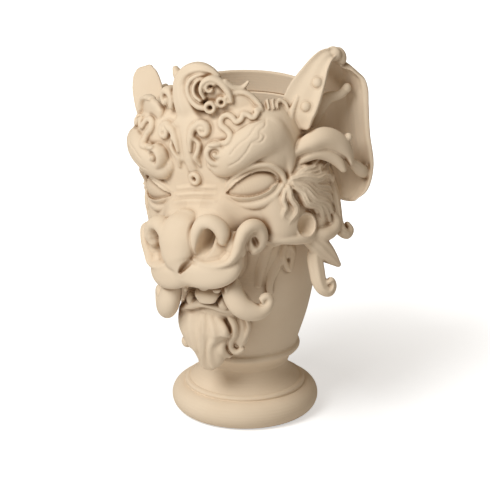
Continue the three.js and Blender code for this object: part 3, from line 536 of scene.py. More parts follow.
for side in (1, -1):
    clay.carve([ribbon([(26, 3.5, 16.2, 0.5, 8), (30, 7, 17.2, 3.2, 9), (35, 10, 18.8, 6.6, 9),
                        (40, 12.5, 20.3, 8.8, 9), (45, 14.5, 21.9, 9.7, 9), (50, 16, 23, 9, 9),
                        (54, 17, 23, 6.2, 9), (58, 17, 20.2, 0.5, 8)], side, facing=24, square=0.7)], 0.5)
both("eye", lambda side: [ball((43.5, 3.5, 19.5), (22.6, 12.9, 15), side, facing=24, lean=-6)], 0.3)
print("sections:", len(clay.sections))

# %% Brows
both("brow", lambda side: [
    ribbon([(20, 4, 45, 9, 7), (26, 7.5, 43.5, 13, 9), (35, 12, 48.5, 14.6, 11.5),
            (45, 14.5, 56.5, 16, 13.5), (54, 15, 60, 16.6, 14), (62, 13.5, 56.5, 14.5, 13),
            (67, 12.5, 44, 10.5, 11), (67.5, 13.5, 32, 6.5, 8), (66, 15.5, 21, 2, 4)], side, square=0.92),
    ball((60, 10.5, 59.5), (16, 16.5, 19), side),
    ball((24.8, 9, 54), (8, 7, 8), side),
    ribbon(coil((24.8, 10.8, 54), (10, 1.4), (-60, -510), ((3.8, 2.8), (6, 8.5))), side)], 1.2, inner=2)
veins = [[(31, 42), (37, 46), (42, 53), (45.5, 60), (49.5, 62.5), (50.5, 68), (54, 71), (57, 77)],
         [(33, 52), (38.5, 60), (44, 65), (50, 73), (55, 75)],
         [(45.5, 60), (50, 59), (52.5, 63), (51, 67)]]
for side in (1, -1):
    clay.carve([laid([(angle, 0.15, height, 0.6, 0.6) for angle, height in vein], side) for vein in veins],
               1.2)
for height, rise in ((23, 0.2), (17.5, 0.1), (12, 0.1)):
    clay.press([laid([(-17, rise - 0.6, height - 1, 0.8, 0.8), (-8, rise, height, 1.3, 1.3),
                      (0, rise, height + 0.5, 1.4, 1.4), (8, rise, height, 1.3, 1.3),
                      (17, rise - 0.6, height - 1, 0.8, 0.8)])], 3)
print("sections:", len(clay.sections))

# %% [markdown]
# ## Forehead ornament
# Rolled coils and cut leaves cover the forehead. Each is laid on the clay under it, so only its angle and
# height and a small rise are written.

# %% Forehead ornament
clay.add("forehead_stem", [laid([
    (4, 0, 98, 9, 4), (4, 0.5, 88, 10.5, 4), (4, 0.6, 79, 9.5, 4), (3.6, 0.6, 70, 7.6, 4),
    (2.6, 0.6, 58, 6, 4), (1.4, 0.6, 47, 5.2, 3.8), (1.6, 0.4, 40, 4.6, 3.2)]),
    laid([(6, 0.4, 86, 6, 3.4), (13, 0.3, 80, 4, 3), (19, 0, 77, 2, 2)]),
    laid([(1, 0.4, 86, 6, 3.4), (-5, 0.3, 80, 4, 3), (-11, 0, 77, 2, 2)]),
    laid([(8, -0.6, 74, 4, 2.6), (8, -0.6, 62, 4.4, 2.6), (7, -0.6, 50, 3.6, 2.4)]),
    laid([(-4.5, -0.6, 74, 4, 2.6), (-4, -0.6, 62, 4.4, 2.6), (-4, -0.6, 50, 3.6, 2.4)])], 3, inner=3)
clay.add("forehead_bead", [laid(ring((2, 0.8, 31), 4.2, 2.6, 3.4, 90))], 0.8)
both("tendril", lambda side: [laid([
    (5.5, 0.5, 57, 1.6, 2.4), (6.5, 1, 66, 2.8, 3.2), (9.5, 1.4, 76, 3.4, 3.6)]
    + coil((16.5, 1.2, 74), (6.6, 1.2), (145, -330), ((3.4, 2.4), (3.8, 4))), side)], 2)
both("ribbon", lambda side: [laid([
    (8.5, 0.2, 69, 1.2, 2), (12, 0.5, 62, 2.6, 3), (10.5, 0.6, 56, 2.7, 3), (8, 0.6, 50.5, 2.6, 3),
    (9, 0.3, 43, 1.6, 2.2)], side)], 2)
both("vine", lambda side: [laid([
    (53, 1, 82, 2.4, 3.4), (50, 1, 78.5, 2.6, 3.4), (47.5, 1, 81.5, 2.6, 3.4), (45, 1, 83, 2.6, 3.4),
    (43, 1, 79, 2.6, 3.4), (40, 1, 77.5, 2.6, 3.4), (38, 1, 81.5, 2.7, 3.4), (35, 1, 84, 2.8, 3.4),
    (31, 1, 82, 2.9, 3.6), (30, 1, 76.5, 3, 3.6), (33.5, 1, 71.5, 3, 3.6), (35, 1, 66.5, 3, 3.6),
    (32, 1, 62, 2.8, 3.4), (27, 1, 61.5, 2.4, 3), (22, 0.6, 62, 1.6, 2.2)], side),
    laid(coil((53.5, 0.8, 83), (2.4, 0.4), (0, 400), ((2, 1.8), (3.2, 3.2))), side)], 1)
both("plate", lambda side: [
    ribbon([(26, 0, 88, 7, 4), (35, 1, 90.5, 10, 4), (44, 2.5, 91, 11, 4.4), (51, 4, 88, 9, 4.4),
            (56, 6, 84, 6, 4)], side, square=0.7),
    ribbon([(36, 2, 101, 2, 3.6), (44, 3.5, 101.5, 2.4, 4.4), (50, 5.5, 99, 2.6, 5), (54, 7.5, 93.5, 2.7, 5),
            (56, 9.5, 87.5, 2.8, 5), (56.5, 11.5, 82, 2.8, 4.6)], side)], 0.8, inner=1)
both("comb", lambda side: [
    laid(coil((69, 0.6, 82), (11, 11), (176, 70), ((1.6, 1.4), (2.6, 2.6))), side),
    laid(coil((69.5, 0.8, 82), (7.6, 7.6), (180, 66), ((1.6, 1.4), (2.8, 2.6))), side),
    laid(coil((70, 1, 82), (4.4, 4.4), (184, 60), ((1.5, 1.3), (2.8, 2.6))), side),
    laid([(71, 1, 88, 2, 2.6), (74, 1, 83, 2.2, 3), (74, 0.5, 77, 1.6, 2)], side)], 0.7, inner=0.5)
print("sections:", len(clay.sections))

# %% [markdown]
# ## Crest
# The crest stands on the rim. A trunk rises from the forehead and curls over to the beast's left like a
# breaking wave, and smaller scrolls and rings fill the hollow under it.

# %% Crest
clay.add("crest", [
    ribbon([(4, -8, 72, 8, 4), (3, -3.6, 84, 10, 5), (1.6, -2.6, 95, 10, 6), (0.6, -4, 106, 9.2, 6.4),
            (1.4, -6, 114.5, 8.6, 6.8), (6.5, -7, 121.5, 7.4, 7), (15, -6, 125, 6.4, 7.4),
            (22.5, -4, 124.8, 5, 6.6), (28.5, -2, 121.5, 3.8, 5), (32.5, 0, 117, 2.6, 3.6)],
           square=0.85, flutes=2, flute=0.5),
    ribbon([(1, -6, 110, 5, 5), (-2, -8, 118, 4.8, 5), (-5.5, -9, 122.5, 3.8, 4.4),
            (-7, -9, 127, 1.8, 2.6)]),
    ribbon(coil((-16.5, -4, 102), (9, 2.4), (-50, 330), ((3.6, 3), (5, 6)))),
    ball((-16.5, -8, 100), (11, 6, 12), facing=-16)], 2, inner=1.6)
clay.add("crest_scroll", [
    ball((20, -7, 106), (17, 6, 19)),
    ball((29, -3, 104), (12, 6, 13)), ball((12.5, -4, 109), (8, 5.4, 14)),
    ribbon([(26, -3, 119, 1.6, 3), (19, -2, 120.5, 2.2, 4), (12, -1, 117, 2.4, 4.5), (9, 0, 110, 2.5, 4.5),
            (10.5, 1, 101, 2.8, 4.5), (15, 2, 94.5, 3, 4.5), (21, 3, 92, 2.4, 4)]),
    ribbon([(24, -2, 115.5, 1.5, 3), (18, -1, 116, 2, 4), (14, 0, 111, 2.1, 4.2), (14, 1, 104, 2.2, 4.2),
            (18, 2, 99, 2.1, 4)])], 1, inner=1)
clay.add("crest_spiral", [
    ribbon([(21, 3, 101, 2, 4), (20, 4, 108, 2.4, 4.6), (22.5, 4, 114, 2.7, 5), (27.5, 4, 116.5, 3.1, 5.2),
            (32.5, 4.5, 114, 3.4, 5.2), (36.5, 5.5, 108, 3.4, 5), (38.5, 6.5, 101, 3, 4.5),
            (39, 7, 95, 2, 3.5)]),
    ribbon(coil((26.5, 4, 108.5), (5.4, 1.6), (40, 330), ((2, 1.6), (4, 3.6)))),
    ribbon([(37, 5, 112, 2.6, 3.6), (42, 4, 105.5, 3, 4), (48, 4, 104, 2.4, 3.4), (53, 5, 108.5, 1, 2)]),
    ribbon([(38, 5, 104, 2.2, 3), (44, 4, 100, 2.4, 3.4), (50, 4, 101, 2, 3)]),
    ribbon(ring((24.5, 6, 92.5), 3.9, 1.9, 4)), ribbon(ring((32.5, 5.5, 95.5), 3.4, 1.7, 3.6)),
    ribbon(ring((37.5, 5.5, 97.5), 2.8, 1.6, 3.4))], 0.8, inner=0.6)
print("sections:", len(clay.sections))

# %% [markdown]
# ## Ears
# Each ear has three parts: a standing leaf with two studs, a wide shell with a rolled rim behind it, and a
# horn that bends through the shell's mouth.

# %% Ear leaves
leaf_left = [(80, 17, 62, 11.5, 4), (80, 19, 74, 16.5, 4), (85, 23, 88, 16, 4), (90, 28, 100, 12.8, 4),
             (94.5, 32.5, 110, 9.2, 4.2), (98, 36, 115, 6.6, 4.4), (100.5, 38.5, 116.5, 4, 4)]
leaf_right = [(80, 9, 62, 8, 4), (80, 10, 74, 14, 4), (81, 11, 86, 16, 4), (83, 13, 97, 16, 4),
              (85, 15, 106, 15, 4), (87, 17, 113, 12.5, 4), (88.5, 18, 117, 9, 4)]
clay.add("ear_leaf_left", [
    ribbon(leaf_left, 1, facing=12, dish=3.5, square=0.8, roll=0.5, flutes=2, flute=0.5),
    ribbon([(75.7, 14, 64, 2.4, 3), (75.9, 16.2, 74, 3, 3.4), (80.7, 19.2, 86, 2, 2.6)], 1, facing=12),
    ball((104.5, 43, 112.5), (5.6, 5, 8), facing=20, lean=-10),
    ball((101, 40, 116.2), (7, 5, 6.4), facing=12), ball((81, 27, 78), 4.6), ball((88, 34, 96), 4.6)],
    0.8, inner=1)
clay.add("ear_leaf_right", [
    ribbon(leaf_right, -1, facing=-10, dish=3, square=0.85), ball((92, 21, 114), (5, 5, 6), -1),
    ball((88, 21, 80), 4.4, -1), ball((84, 21, 95), 4.4, -1)], 0.8, inner=1)
print("sections:", len(clay.sections))

# %% Ear shells and horns
shell_low = [(110, 25, -14, 9, 4), (111.5, 28, -4, 18, 3.6), (112.5, 29, 12, 23.5, 3.4),
             (112, 28, 40, 26, 3.4)]
shell_high = {1: [(111.5, 28, 66, 29, 3.4), (111.5, 29, 84, 30, 3.6), (111.5, 31, 97, 26, 3.8),
                  (110, 33, 106.5, 17, 4), (108, 34, 112, 7, 4)],
              -1: [(111, 28, 66, 24, 3.4), (109, 28, 84, 16, 3.6), (107, 28, 94, 6, 4)]}
both("ear_shell", lambda side: [
    ribbon(shell_low + shell_high[side], side, facing=34, dish=14, square=0.6, roll=0.7, flutes=7,
           flute=1.5),
    ribbon([(92, 14, 60, 6, 3), (94, 21, 70, 6.5, 3), (97, 31, 79, 5, 3), (102, 40, 80, 3.6, 3),
            (105, 44, 84, 3, 3)], side, facing=34),
    ball((104.5, 45, 84), (3.4, 3.4, 4), side)], 1, inner=1.5)
both("ear_horn", lambda side: [
    ribbon([(71, 13, 39, 5, 5), (75, 21, 44, 6.5, 5.5), (80, 28, 47, 8.6, 6.5), (85, 33, 48.5, 9.8, 7),
            (90, 37, 44, 10, 7), (93.5, 40.5, 37, 8.6, 6), (96.5, 42, 29, 5.6, 5), (97.5, 43, 21, 3, 3)],
           side, facing=40, square=0.9, flutes=1, flute=0.8),
    ribbon([(74, 15, 30, 3, 4), (78, 21, 34.5, 4.4, 5), (83, 27, 36.5, 5.6, 5.4), (88, 32, 33, 6, 5.4),
            (92, 36, 25, 5, 4.6), (94, 38, 17, 3, 3.4)], side, facing=40),
    ball((96, 46, 44), (3.4, 3.6, 3.4), side),
    ribbon([(99, 41, 23, 3, 3), (102, 43, 16, 4.6, 3.4), (105.5, 45.5, 9, 5.4, 3.4), (108.5, 48, 7.5, 5, 3),
            (110, 51, 13, 2.4, 2.4)], side, facing=40)], 0.8, inner=1)
print("sections:", len(clay.sections))

# %% [markdown]
# ## Mane
# The mane fans out from the outer corner of the eye in combed strands, like wet hair, and ends in curls.

# %% Combed strands
def combed(rows, side, sway=1.8, waves=1.6, **shape):
    """A strand of wet hair: its rows are swayed across the way they run, by the sway times the sine of the
    share of the length, which makes an S of each. A degree round the cup is 1.3 mm long here."""
    fine = smooth_rows(np.asarray(rows, float), 2.0)
    share = np.linspace(0, 1, len(fine))
    way = unit(np.gradient(fine[:, [0, 2]], axis=0) * [1.3, 1.0])
    swing = sway * np.sin(2 * np.pi * waves * share) * np.sin(np.pi * share) ** 0.5
    fine[:, 0] -= swing * way[:, 1] / 1.3
    fine[:, 2] += swing * way[:, 0]
    return ribbon(fine, side, **shape)


fan = [(104, 32), (103, 22), (100, 13), (99, 4), (98, -5), (97, -14), (95, -23), (91, -30), (85, -24),
       (80, -15)]
strands = [[(65, 18, 18, 2.6, 3.6), (65 + 0.35 * (angle - 65), 20, 21 + 0.3 * (height - 18), 3.6, 4.6),
            (65 + 0.7 * (angle - 65), 19.5, 20 + 0.66 * (height - 18), 4, 4.6),
            (angle, 17, height, 2.4, 3.4)] for angle, height in fan]
strands += [
    [(66, 19.5, 20, 3, 4.4), (78, 21.5, 17, 4.8, 5), (89, 21, 14, 4.6, 5), (97, 19.5, 8, 3, 4)],
    [(66, 19.5, 16, 3, 4.4), (75, 21.5, 4, 5, 5), (84, 20.5, -8, 4.8, 5), (92, 18.5, -20, 2.6, 4)],
    [(67, 19.5, 12, 3, 4.4), (72, 21, 1, 4.4, 5), (78, 20, -8, 4.4, 5), (84, 18, -19, 2.4, 4)],
    [(63, 18.5, 14, 2.6, 4), (62, 19.5, 6, 3.4, 4.6), (66, 19.5, -2, 3.6, 4.8), (64, 18.5, -9, 3.4, 4.6),
     (60, 17.5, -17, 3, 4)],
    [(61, 18, 12, 2.2, 3.6), (57.5, 18.5, 4, 2.8, 4.4), (60, 18.5, -4, 3, 4.6), (57, 17.5, -11, 2.8, 4.4),
     (58.5, 16.5, -18, 2.4, 4), (55, 15.5, -24, 1.6, 3)]]
print("strands:", len(strands))

# %% Mane
both("mane", lambda side: [combed(rows, side, flutes=3, flute=0.8) for rows in strands] + [
    ribbon([(66, 14, 18, 6, 5.6), (76, 15.5, 20, 13, 6), (87, 15, 18, 16, 6), (96, 14.5, 7, 15, 6),
            (98, 14, -8, 10, 5)], side),
    ribbon([(66, 14, 12, 5, 5.6), (74, 15.5, 4, 10, 6), (83, 15, -8, 11, 6), (89, 13.5, -22, 10, 5.6),
            (89, 12.5, -32, 7, 5)], side),
    ribbon([(76, 20, 26, 3, 4)] + coil((88, 20, 22), (10, 2.6), (165, -260), ((3.2, 2.2), (4.6, 5.6))), side,
           flutes=2, flute=0.4),
    ball((96.5, 21, 9), (4.4, 4.4, 5), side), ball((84, 12, -26), (9, 7.5, 9), side),
    ball((71, 15.4, -24), (12, 9, 13), side, lean=14),
    ribbon([(79, 15, -33, 4.4, 5.6), (84, 17.5, -37, 6, 6.8), (90, 18.5, -36.5, 6.2, 7),
            (94.5, 19, -30.5, 5.4, 6.6), (94, 18.5, -24, 3.8, 5)], side)], 0.8, inner=0.8)
for side in (1, -1):
    clay.carve([ball((70.2, 26, -23.5), (9.6, 14, 10.6), side, lean=14)], 0.8)
print("sections:", len(clay.sections))

# %% Rolls, locks and leaves
both("cheek_roll", lambda side: [
    ribbon([(45, 12, -25, 2.6, 4), (50, 14, -29, 4, 5), (58, 15, -32, 4.6, 5.4), (68, 15, -35, 5, 5.6),
            (77, 14, -36, 5, 5.4), (86, 12, -39, 4.4, 5), (92, 10.5, -43, 3.4, 4)], side),
    ribbon([(74, 12, -37, 6, 4.4), (79.5, 14.5, -45, 8.6, 4.8), (84.5, 15.5, -54, 8.4, 4.4),
            (89, 17, -62, 5.4, 3.8), (92, 18.5, -68, 2.4, 2.6)], side, facing=55, flutes=3, flute=0.4),
    laid([(63, 0.6, -42, 2.2, 2.2), (60.5, 0.9, -50, 2.6, 2.6), (62, 0.9, -58, 2.4, 2.6),
          (66, 0.8, -65, 2.4, 2.4), (69, 0.9, -57, 2.8, 2.8), (70.5, 0.9, -49, 2.8, 2.8),
          (67, 0.6, -44, 2.4, 2.4), (65, 0.3, -52, 2.6, 2)], side),
    laid([(52, -0.2, -34, 2.6, 1.8), (44.5, -0.1, -47, 3.4, 2), (37.5, -0.1, -63, 3.2, 2),
          (35, -0.6, -73, 2.4, 1.6)], side),
    laid([(69, -0.3, -44, 2.6, 1.8), (59, -0.2, -53, 3.4, 2), (51, -0.2, -63, 3.6, 2),
          (45, -0.3, -74, 3, 1.8), (44, -0.9, -82, 2.2, 1.4)], side)], 2, inner=1.5)
both("hanging_lock", lambda side: [ribbon(np.add([
    (80, 10, -46, 5.6, 5), (78, 10.5, -57, 7, 5.6), (77.5, 11, -68, 7, 5.6), (77.5, 11.5, -78, 6.6, 5.6),
    (79, 13, -85.5, 5.6, 5), (82, 15, -88.5, 4.8, 4.6), (84.5, 16.5, -85, 4, 4.4), (84, 17, -79.5, 3.2, 4),
    (81.5, 17, -79.5, 2.2, 3.4)], (0, 0 if side > 0 else 8, 0, 0, 0)), side, facing=50, flutes=2,
    flute=0.4)], 0.8)
both("outer_lock", lambda side: [ribbon([
    (94, 14, 24, 8, 5), (97, 15.5, 8, 8.6, 5.4), (98.5, 17, -7, 8.4, 5.4), (98, 18, -20, 7.6, 5.4),
    (97, 19.5, -31, 6.4, 5), (98, 22, -40, 5, 4.8), (102, 24, -45, 4.4, 4.6), (105.5, 25, -42.5, 3.8, 4.2),
    (105, 24, -37.5, 2.8, 3.6)], side, facing=60, flutes=4, flute=0.6)], 0.8)
print("sections:", len(clay.sections))

# %% [markdown]
# ## Mouth, tusks and beard
# The open mouth is simply the gap that is left between lip and jaw. The tusks hang beside it as thick
# tongues of clay with a curled end. The beard is one flat lump with combed ridges.

# %% Mouth and tusks
clay.add("upper_teeth", [
    ribbon([(-14, 24, -58, 3, 4), (0, 27, -57, 3, 4), (20, 24, -60, 3, 4)], facing=4),
    ball((-5, 30, -59), (2, 2.2, 5)), ball((7, 30, -60), (5, 2.4, 2.8)),
    ball((14, 29.5, -63), (4, 2.4, 2.8)), ball((19, 28.5, -63), (1.8, 2, 4))], 0.6)
clay.add("tongue", [ribbon([
    (9, -2, 0, 10, 3.6), (8, 8, 3, 13, 4), (8, 15, 3.4, 13.5, 4), (8, 20, 0.5, 12, 3.4),
    (8, 21, -4, 9, 2.6)], facing=0, tilt=80, square=0.8)], 1, "jaw")
clay.add("lower_teeth", [
    ribbon([(-14, 10, -10, 2.6, 3.4), (2, 11.5, -8, 2.6, 3.4), (17, 10, -11, 2.6, 3.4)]),
    ball((-8, 14, -5.5), (3.6, 3.6, 5.6)), ball((16.5, 14.5, -7.5), (4.8, 4.4, 6))], 0.8, "jaw", inner=1)
both("tusk", lambda side: [ribbon(np.add([
    (23, 21, 16, 7.5, 7), (24, 22.5, 8, 9, 8.5), (25.5, 23.5, -1, 9.8, 9), (28.5, 24, -9, 9.6, 9),
    (33, 23, -14, 8.8, 8.2), (38, 21.5, -15.5, 7.2, 7.2), (42.5, 20.5, -12.5, 5.4, 6),
    (44.5, 20, -7.5, 4.2, 5), (43, 20.5, -3.5, 3.6, 4.6), (40.4, 21.5, -4.5, 3, 4.4),
    (40.6, 22, -8, 2, 3.6)], (0, 0, 0, 0, 0) if side > 0 else (-7.5, 0, 0, 2.5, 0)), side, facing=35)],
    0.8, "jaw")
print("sections:", len(clay.sections))

# %% Beard
clay.add("beard", [
    ribbon([(0, 3, 17, 18, 6.5), (-1.5, 4, 9, 26, 8.5), (-3, 3.5, -1, 27, 9.5), (-2, 2, -11, 22, 9.5),
            (0, 0, -20, 18, 9), (-1, -1.5, -29, 15, 7.5), (-4, -2.5, -37, 9.5, 5)], square=0.85),
    ribbon([(7, -1, -12, 5, 5), (10, -2, -19, 4.6, 4.6), (13, -3, -24, 3.2, 3.6),
            (15.5, -3.5, -26, 1.4, 2)]),
    ball((-19, 4.5, -19), (4.6, 4.6, 5.2)), ball((17, -5, 2), (10, 7, 17)), ball((25, -5, 1), (8, 6.5, 17))],
    2.5, "beard", inner=3)
ridges = [
    [(1, -1, 17, 2.4, 2.6), (1.5, -0.2, 6, 3, 2.8), (1, -0.2, -9, 3, 2.8), (-1, -0.4, -25, 2.6, 2.4),
     (-4, -1.4, -38, 2, 2)],
    [(6, -1, 14, 1.8, 2.2), (9.5, -0.3, 4, 2.2, 2.4), (10, -0.3, -5, 2.2, 2.4), (6, -0.3, -15, 2.2, 2.4),
     (5, -0.5, -25, 2, 2.2), (5, -1.2, -36, 1.8, 2)],
    [(11, -1, 13, 1.6, 2), (16.5, -0.3, 5, 2, 2.2), (17.5, -0.3, -4, 2.1, 2.2), (13.5, -0.3, -13, 2.1, 2.2),
     (14, -0.5, -20, 2, 2.2), (17.5, -1, -26, 1.6, 2)],
    [(-8, -1.4, 12, 2.6, 2.2), (-8, -1, -2, 3, 2.2), (-7, -1, -17, 2.6, 2.2), (-6, -1.4, -30, 2, 2)]]
clay.press([laid(rows, 1, "beard") for rows in ridges], 4, "beard")
both("beard_lock", lambda side: [ribbon([
    (19, 4, 14, 3, 4), (22, 4, 6, 3.4, 4.4), (21.5, 2, -2, 3.4, 4.4), (18.5, 0, -10, 3.2, 4.2),
    (18, -2, -17, 3.2, 4), (22, -4, -21.5, 3.2, 3.8), (26.5, -4.5, -19, 2.8, 3.6)], side),
    ribbon([(30, 0, 13, 1.6, 3), (32, -0.5, 5, 2.2, 3.6), (29, -3, -7, 2.2, 3.6), (25.5, -4.5, -16, 2, 3)],
           side)], 0.8, "beard", inner=0.8)
print("sections:", len(clay.sections))

# %% [markdown]
# ## From field to mesh
# Each section takes its share of the common skin, so it still is a piece of its own, and its normals come
# from the slope of the whole field, so the light runs over a seam without a break.

# %% Mesh of a piece
def make_piece(name, points, faces, outward, node, hollow):
    """Millimetres become metres, and the faces are turned outward where their summed volume is negative."""
    a, b, c = points[faces[:, 0]], points[faces[:, 1]], points[faces[:, 2]]
    if np.einsum("ij,ij->", a, np.cross(b, c)) < 0:
        faces = faces[:, ::-1]
    mesh = bpy.data.meshes.new(name)
    size = faces.shape[1]
    mesh.vertices.add(len(points))
    mesh.vertices.foreach_set("co", (points / 1000).ravel())
    mesh.loops.add(faces.size)
    mesh.loops.foreach_set("vertex_index", faces.ravel())
    mesh.polygons.add(len(faces))
    mesh.polygons.foreach_set("loop_start", np.arange(0, faces.size, size))
    mesh.polygons.foreach_set("loop_total", np.full(len(faces), size))
    mesh.update(calc_edges=True)
    mesh.shade_smooth()
    if outward is not None:
        mesh.normals_split_custom_set_from_vertices(outward)
    # The hollow attribute sets how much shade is painted on the clay here.
    depth = mesh.attributes.new("hollow", "FLOAT", "POINT")
    depth.data.foreach_set("value", hollow.astype(np.float32))
    piece = bpy.data.objects.new(name, mesh)
    bpy.context.scene.collection.objects.link(piece)
    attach(piece, "root")
    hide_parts(node)
    return piece


def painted_shade_amount(points, outward):
    """How much clay stands over a point, which sets how much shade is painted there: 3 and 6 mm out, the
    part of the way that the field falls short.
    It fades to nothing in the 4 mm above the field's floor, below which nothing is known."""
    total = 0
    for way in (3.0, 6.0):
        total = total + np.clip(1 - clay.sample(clay.skin, points + outward * way) / way, 0, 1.5)
    return total / 2 * np.clip((points[:, 2] - field_floor) / 4, 0, 1)


pieces = {}
for name in clay.sections:
    points, quads, outward = clay.piece(name)
    pieces[name] = make_piece(f"clay_{name}", points, quads, outward, name,
                              painted_shade_amount(points, outward))
print("triangles of modelled clay:", 2 * sum(len(piece.data.polygons) for piece in pieces.values()))

# %% [markdown]
# ## The turned vessel
# The foot, the collar, the cup and the rim are turned, so each is one profile carried round the axis.

# %% Outlines carried round the axis
def rounded(points, radius=1.0, spacing=0.4):
    """A closed outline with its corners softened: points at even steps, each then the weighted mean of
    its neighbours in a window that reaches the radius to both sides."""
    points = np.asarray(points, float)
    loop = np.vstack([points, points[:1]])
    along = np.concatenate([[0], np.cumsum(np.linalg.norm(np.diff(loop, axis=0), axis=1))])
    at = np.arange(0, along[-1], spacing)
    even = np.column_stack([np.interp(at, along, loop[:, axis]) for axis in range(2)])
    half = max(int(radius / spacing), 1)
    weights = np.hanning(2 * half + 3)[1:-1]
    weights /= weights.sum()
    padded = np.vstack([even[-half:], even, even[:half]])
    return np.column_stack([np.convolve(padded[:, axis], weights, "valid") for axis in range(2)])


def turned_piece(name, outline, node):
    """A closed outline of radius and height, carried round the axis, its last ring joined to the first.
    The clay field is solid inside, so the painted shade of the hollows fades to nothing where the wall faces
    the axis: its amount is multiplied by 1 plus a tenth of the point times the way out, held between 0 and
    1."""
    index = np.arange(len(outline) * wheel_sides).reshape(-1, wheel_sides)
    under, beside = np.roll(index, -1, axis=0), np.roll(index, -1, axis=1)
    quads = np.stack([index, beside, np.roll(under, -1, axis=1), under], -1).reshape(-1, 4)
    points = spun(outline, wheel_sides).reshape(-1, 3)
    along = np.roll(outline, -1, axis=0) - np.roll(outline, 1, axis=0)
    outward = spun(unit(along[:, ::-1] * [1, -1]), wheel_sides).reshape(-1, 3)
    facing_out = 1 + (points[:, :2] * outward[:, :2]).sum(1) / 10
    make_piece(name, points, quads, None, node,
               painted_shade_amount(points, outward) * np.clip(facing_out, 0, 1))


def arc(middle, radii, start, stop, count=24):
    """Points on an ellipse arc about a middle, from one angle to another in degrees."""
    turn = np.radians(np.linspace(start, stop, count))
    return np.column_stack([middle[0] + radii[0] * np.cos(turn), middle[1] + radii[1] * np.sin(turn)])


bead_top = foot_height + bead_height
bead_middle = bead_radius - 2.2
foot_bore = foot_shoulder - 18
cup_floor = collar_top + base_thickness
rim_inset, rim_round = wall - rim_ledge, 2.4
print("top of the bead ring:", bead_top, "mm")

# %% Foot and collar
foot_outline = np.vstack([
    [[0.4, 0.6], [foot_contact - 2, 0]],
    arc((foot_shoulder, foot_height / 2), (foot_radius - foot_shoulder, foot_height / 2), -82, 84),
    [[foot_shoulder - 0.5, foot_height], [bead_radius + 0.6, foot_height + 0.2]],
    arc((bead_middle, foot_height + 1.7), (3.5, 2.6), -20, 90, 8),
    [[bore, bead_top], [foot_bore, base_thickness + 9], [foot_bore, base_thickness],
     [0.4, base_thickness]]])
turned_piece("turned_foot", rounded(foot_outline, 0.7, 0.6), "foot")
sweep = np.linspace(0, 1, 24)[:, None]
collar_outline = np.vstack([
    [[bore, bead_top + 0.1]],
    np.hstack([neck_radius + (bead_middle - neck_radius) * (1 - sweep) ** 2.2,
               bead_top + 0.1 + (neck_height - bead_top) * sweep]),
    [[neck_radius + 0.2, neck_height + 0.5], [neck_radius + 1.6, neck_height + 2]],
    np.column_stack([neck_radius + 1.6 + (collar_radius - neck_radius - 3) * np.linspace(0, 1, 10) ** 1.6,
                     np.linspace(neck_height + 2.4, collar_height - 3.6, 10)]),
    arc((collar_radius - 2.6, collar_height - 0.2), (2.8, 3.4), -70, 60, 12),
    [[47.8, 66.2], [47.9, collar_top], [bore, collar_top]]])
turned_piece("turned_collar", rounded(collar_outline, 0.8, 0.5), "collar")
print("outline points, foot and collar:", len(foot_outline), len(collar_outline))

# %% Cup and rim
cup_out = np.linspace(collar_top - 1, rim_height - rim_depth, 120)
cup_in = cup_out[cup_out > cup_floor + wall][::-1]
cup_outline = np.vstack([
    np.column_stack([cup_radius(cup_out), cup_out]), np.column_stack([cup_radius(cup_in) - wall, cup_in]),
    [[cup_radius(cup_floor) - 2 * wall, cup_floor], [bore, cup_floor], [bore, collar_top - 1]]])
turned_piece("turned_cup", rounded(cup_outline, 1.0, 1.0), "cup")
rim_out = np.linspace(rim_height - rim_depth + 0.1, rim_height - rim_round, 30)
rim_outline = np.vstack([
    np.column_stack([cup_radius(rim_out), rim_out]),
    arc((rim_radius - rim_inset / 2, rim_height - rim_round), (rim_inset / 2, rim_round), 10, 170, 12),
    np.column_stack([cup_radius(rim_out[::-1]) - rim_inset, rim_out[::-1]])])
turned_piece("turned_rim", rounded(rim_outline, 0.6), "rim")
print("outline points, cup and rim:", len(cup_outline), len(rim_outline))

# %% [markdown]
# ## Shader maths in Python
# Node trees are easier to read as formulas. This small class holds a socket, and the plus and times signs
# build the Math nodes.

# %% Shader expressions
class Term:
    """A value socket in a node tree, which can be added and multiplied."""

    def __init__(self, tree, socket):
        self.tree, self.socket = tree, socket

    def node(self, kind, settings=None, **values):
        """Any other node: its kind, its settings, and its sockets' values or links. A socket is named, or
        numbered after the letter i."""
        made = self.tree.nodes.new(kind)
        for key, value in (settings or {}).items():
            setattr(made, key, value)
        for key, value in values.items():
            socket = made.inputs[int(key[1:])] if key[0] == "i" and key[1:].isdigit() else made.inputs[key]
            if isinstance(value, Term):
                self.tree.links.new(value.socket, socket)
            else:
                socket.default_value = value
        return made

    def out(self, made, name):
        return Term(self.tree, made.outputs[name])

    def feed(self, made, name):
        self.tree.links.new(self.socket, made.inputs[name])

    def maths(self, operation, *values):
        made = self.node("ShaderNodeMath", {"operation": operation},
                         **{f"i{place}": value for place, value in enumerate(values)})
        return self.out(made, "Value")

    def __add__(self, other):
        return self.maths("ADD", self, other)

    def __mul__(self, other):
        return self.maths("MULTIPLY", self, other)

    __radd__, __rmul__ = __add__, __mul__

    def span(self, low, high):
        """0 below low, 1 above high and a straight line between."""
        made = self.node("ShaderNodeMapRange", {"clamp": True}, Value=self,
                         **{"From Min": low, "From Max": high, "To Min": 0.0, "To Max": 1.0})
        return self.out(made, "Result")

    def noise(self, where, scale, detail=3.0, rough=0.55):
        made = self.node("ShaderNodeTexNoise", {"noise_dimensions": "3D"}, Vector=where, Scale=scale,
                         Detail=detail, Roughness=rough)
        return self.out(made, "Fac")

    def mixed(self, amount, first, second):
        """The first colour where the amount is 0 and the second where it is 1."""
        made = self.node("ShaderNodeMix", {"data_type": "RGBA"}, i0=amount, i6=first, i7=second)
        return self.out(made, 2)


def fresh_material(name):
    """A new material, its one shader, and a first term from which others are built."""
    material = bpy.data.materials.new(name)
    material.use_nodes = True
    return material, material.node_tree.nodes["Principled BSDF"], Term(material.node_tree, None)


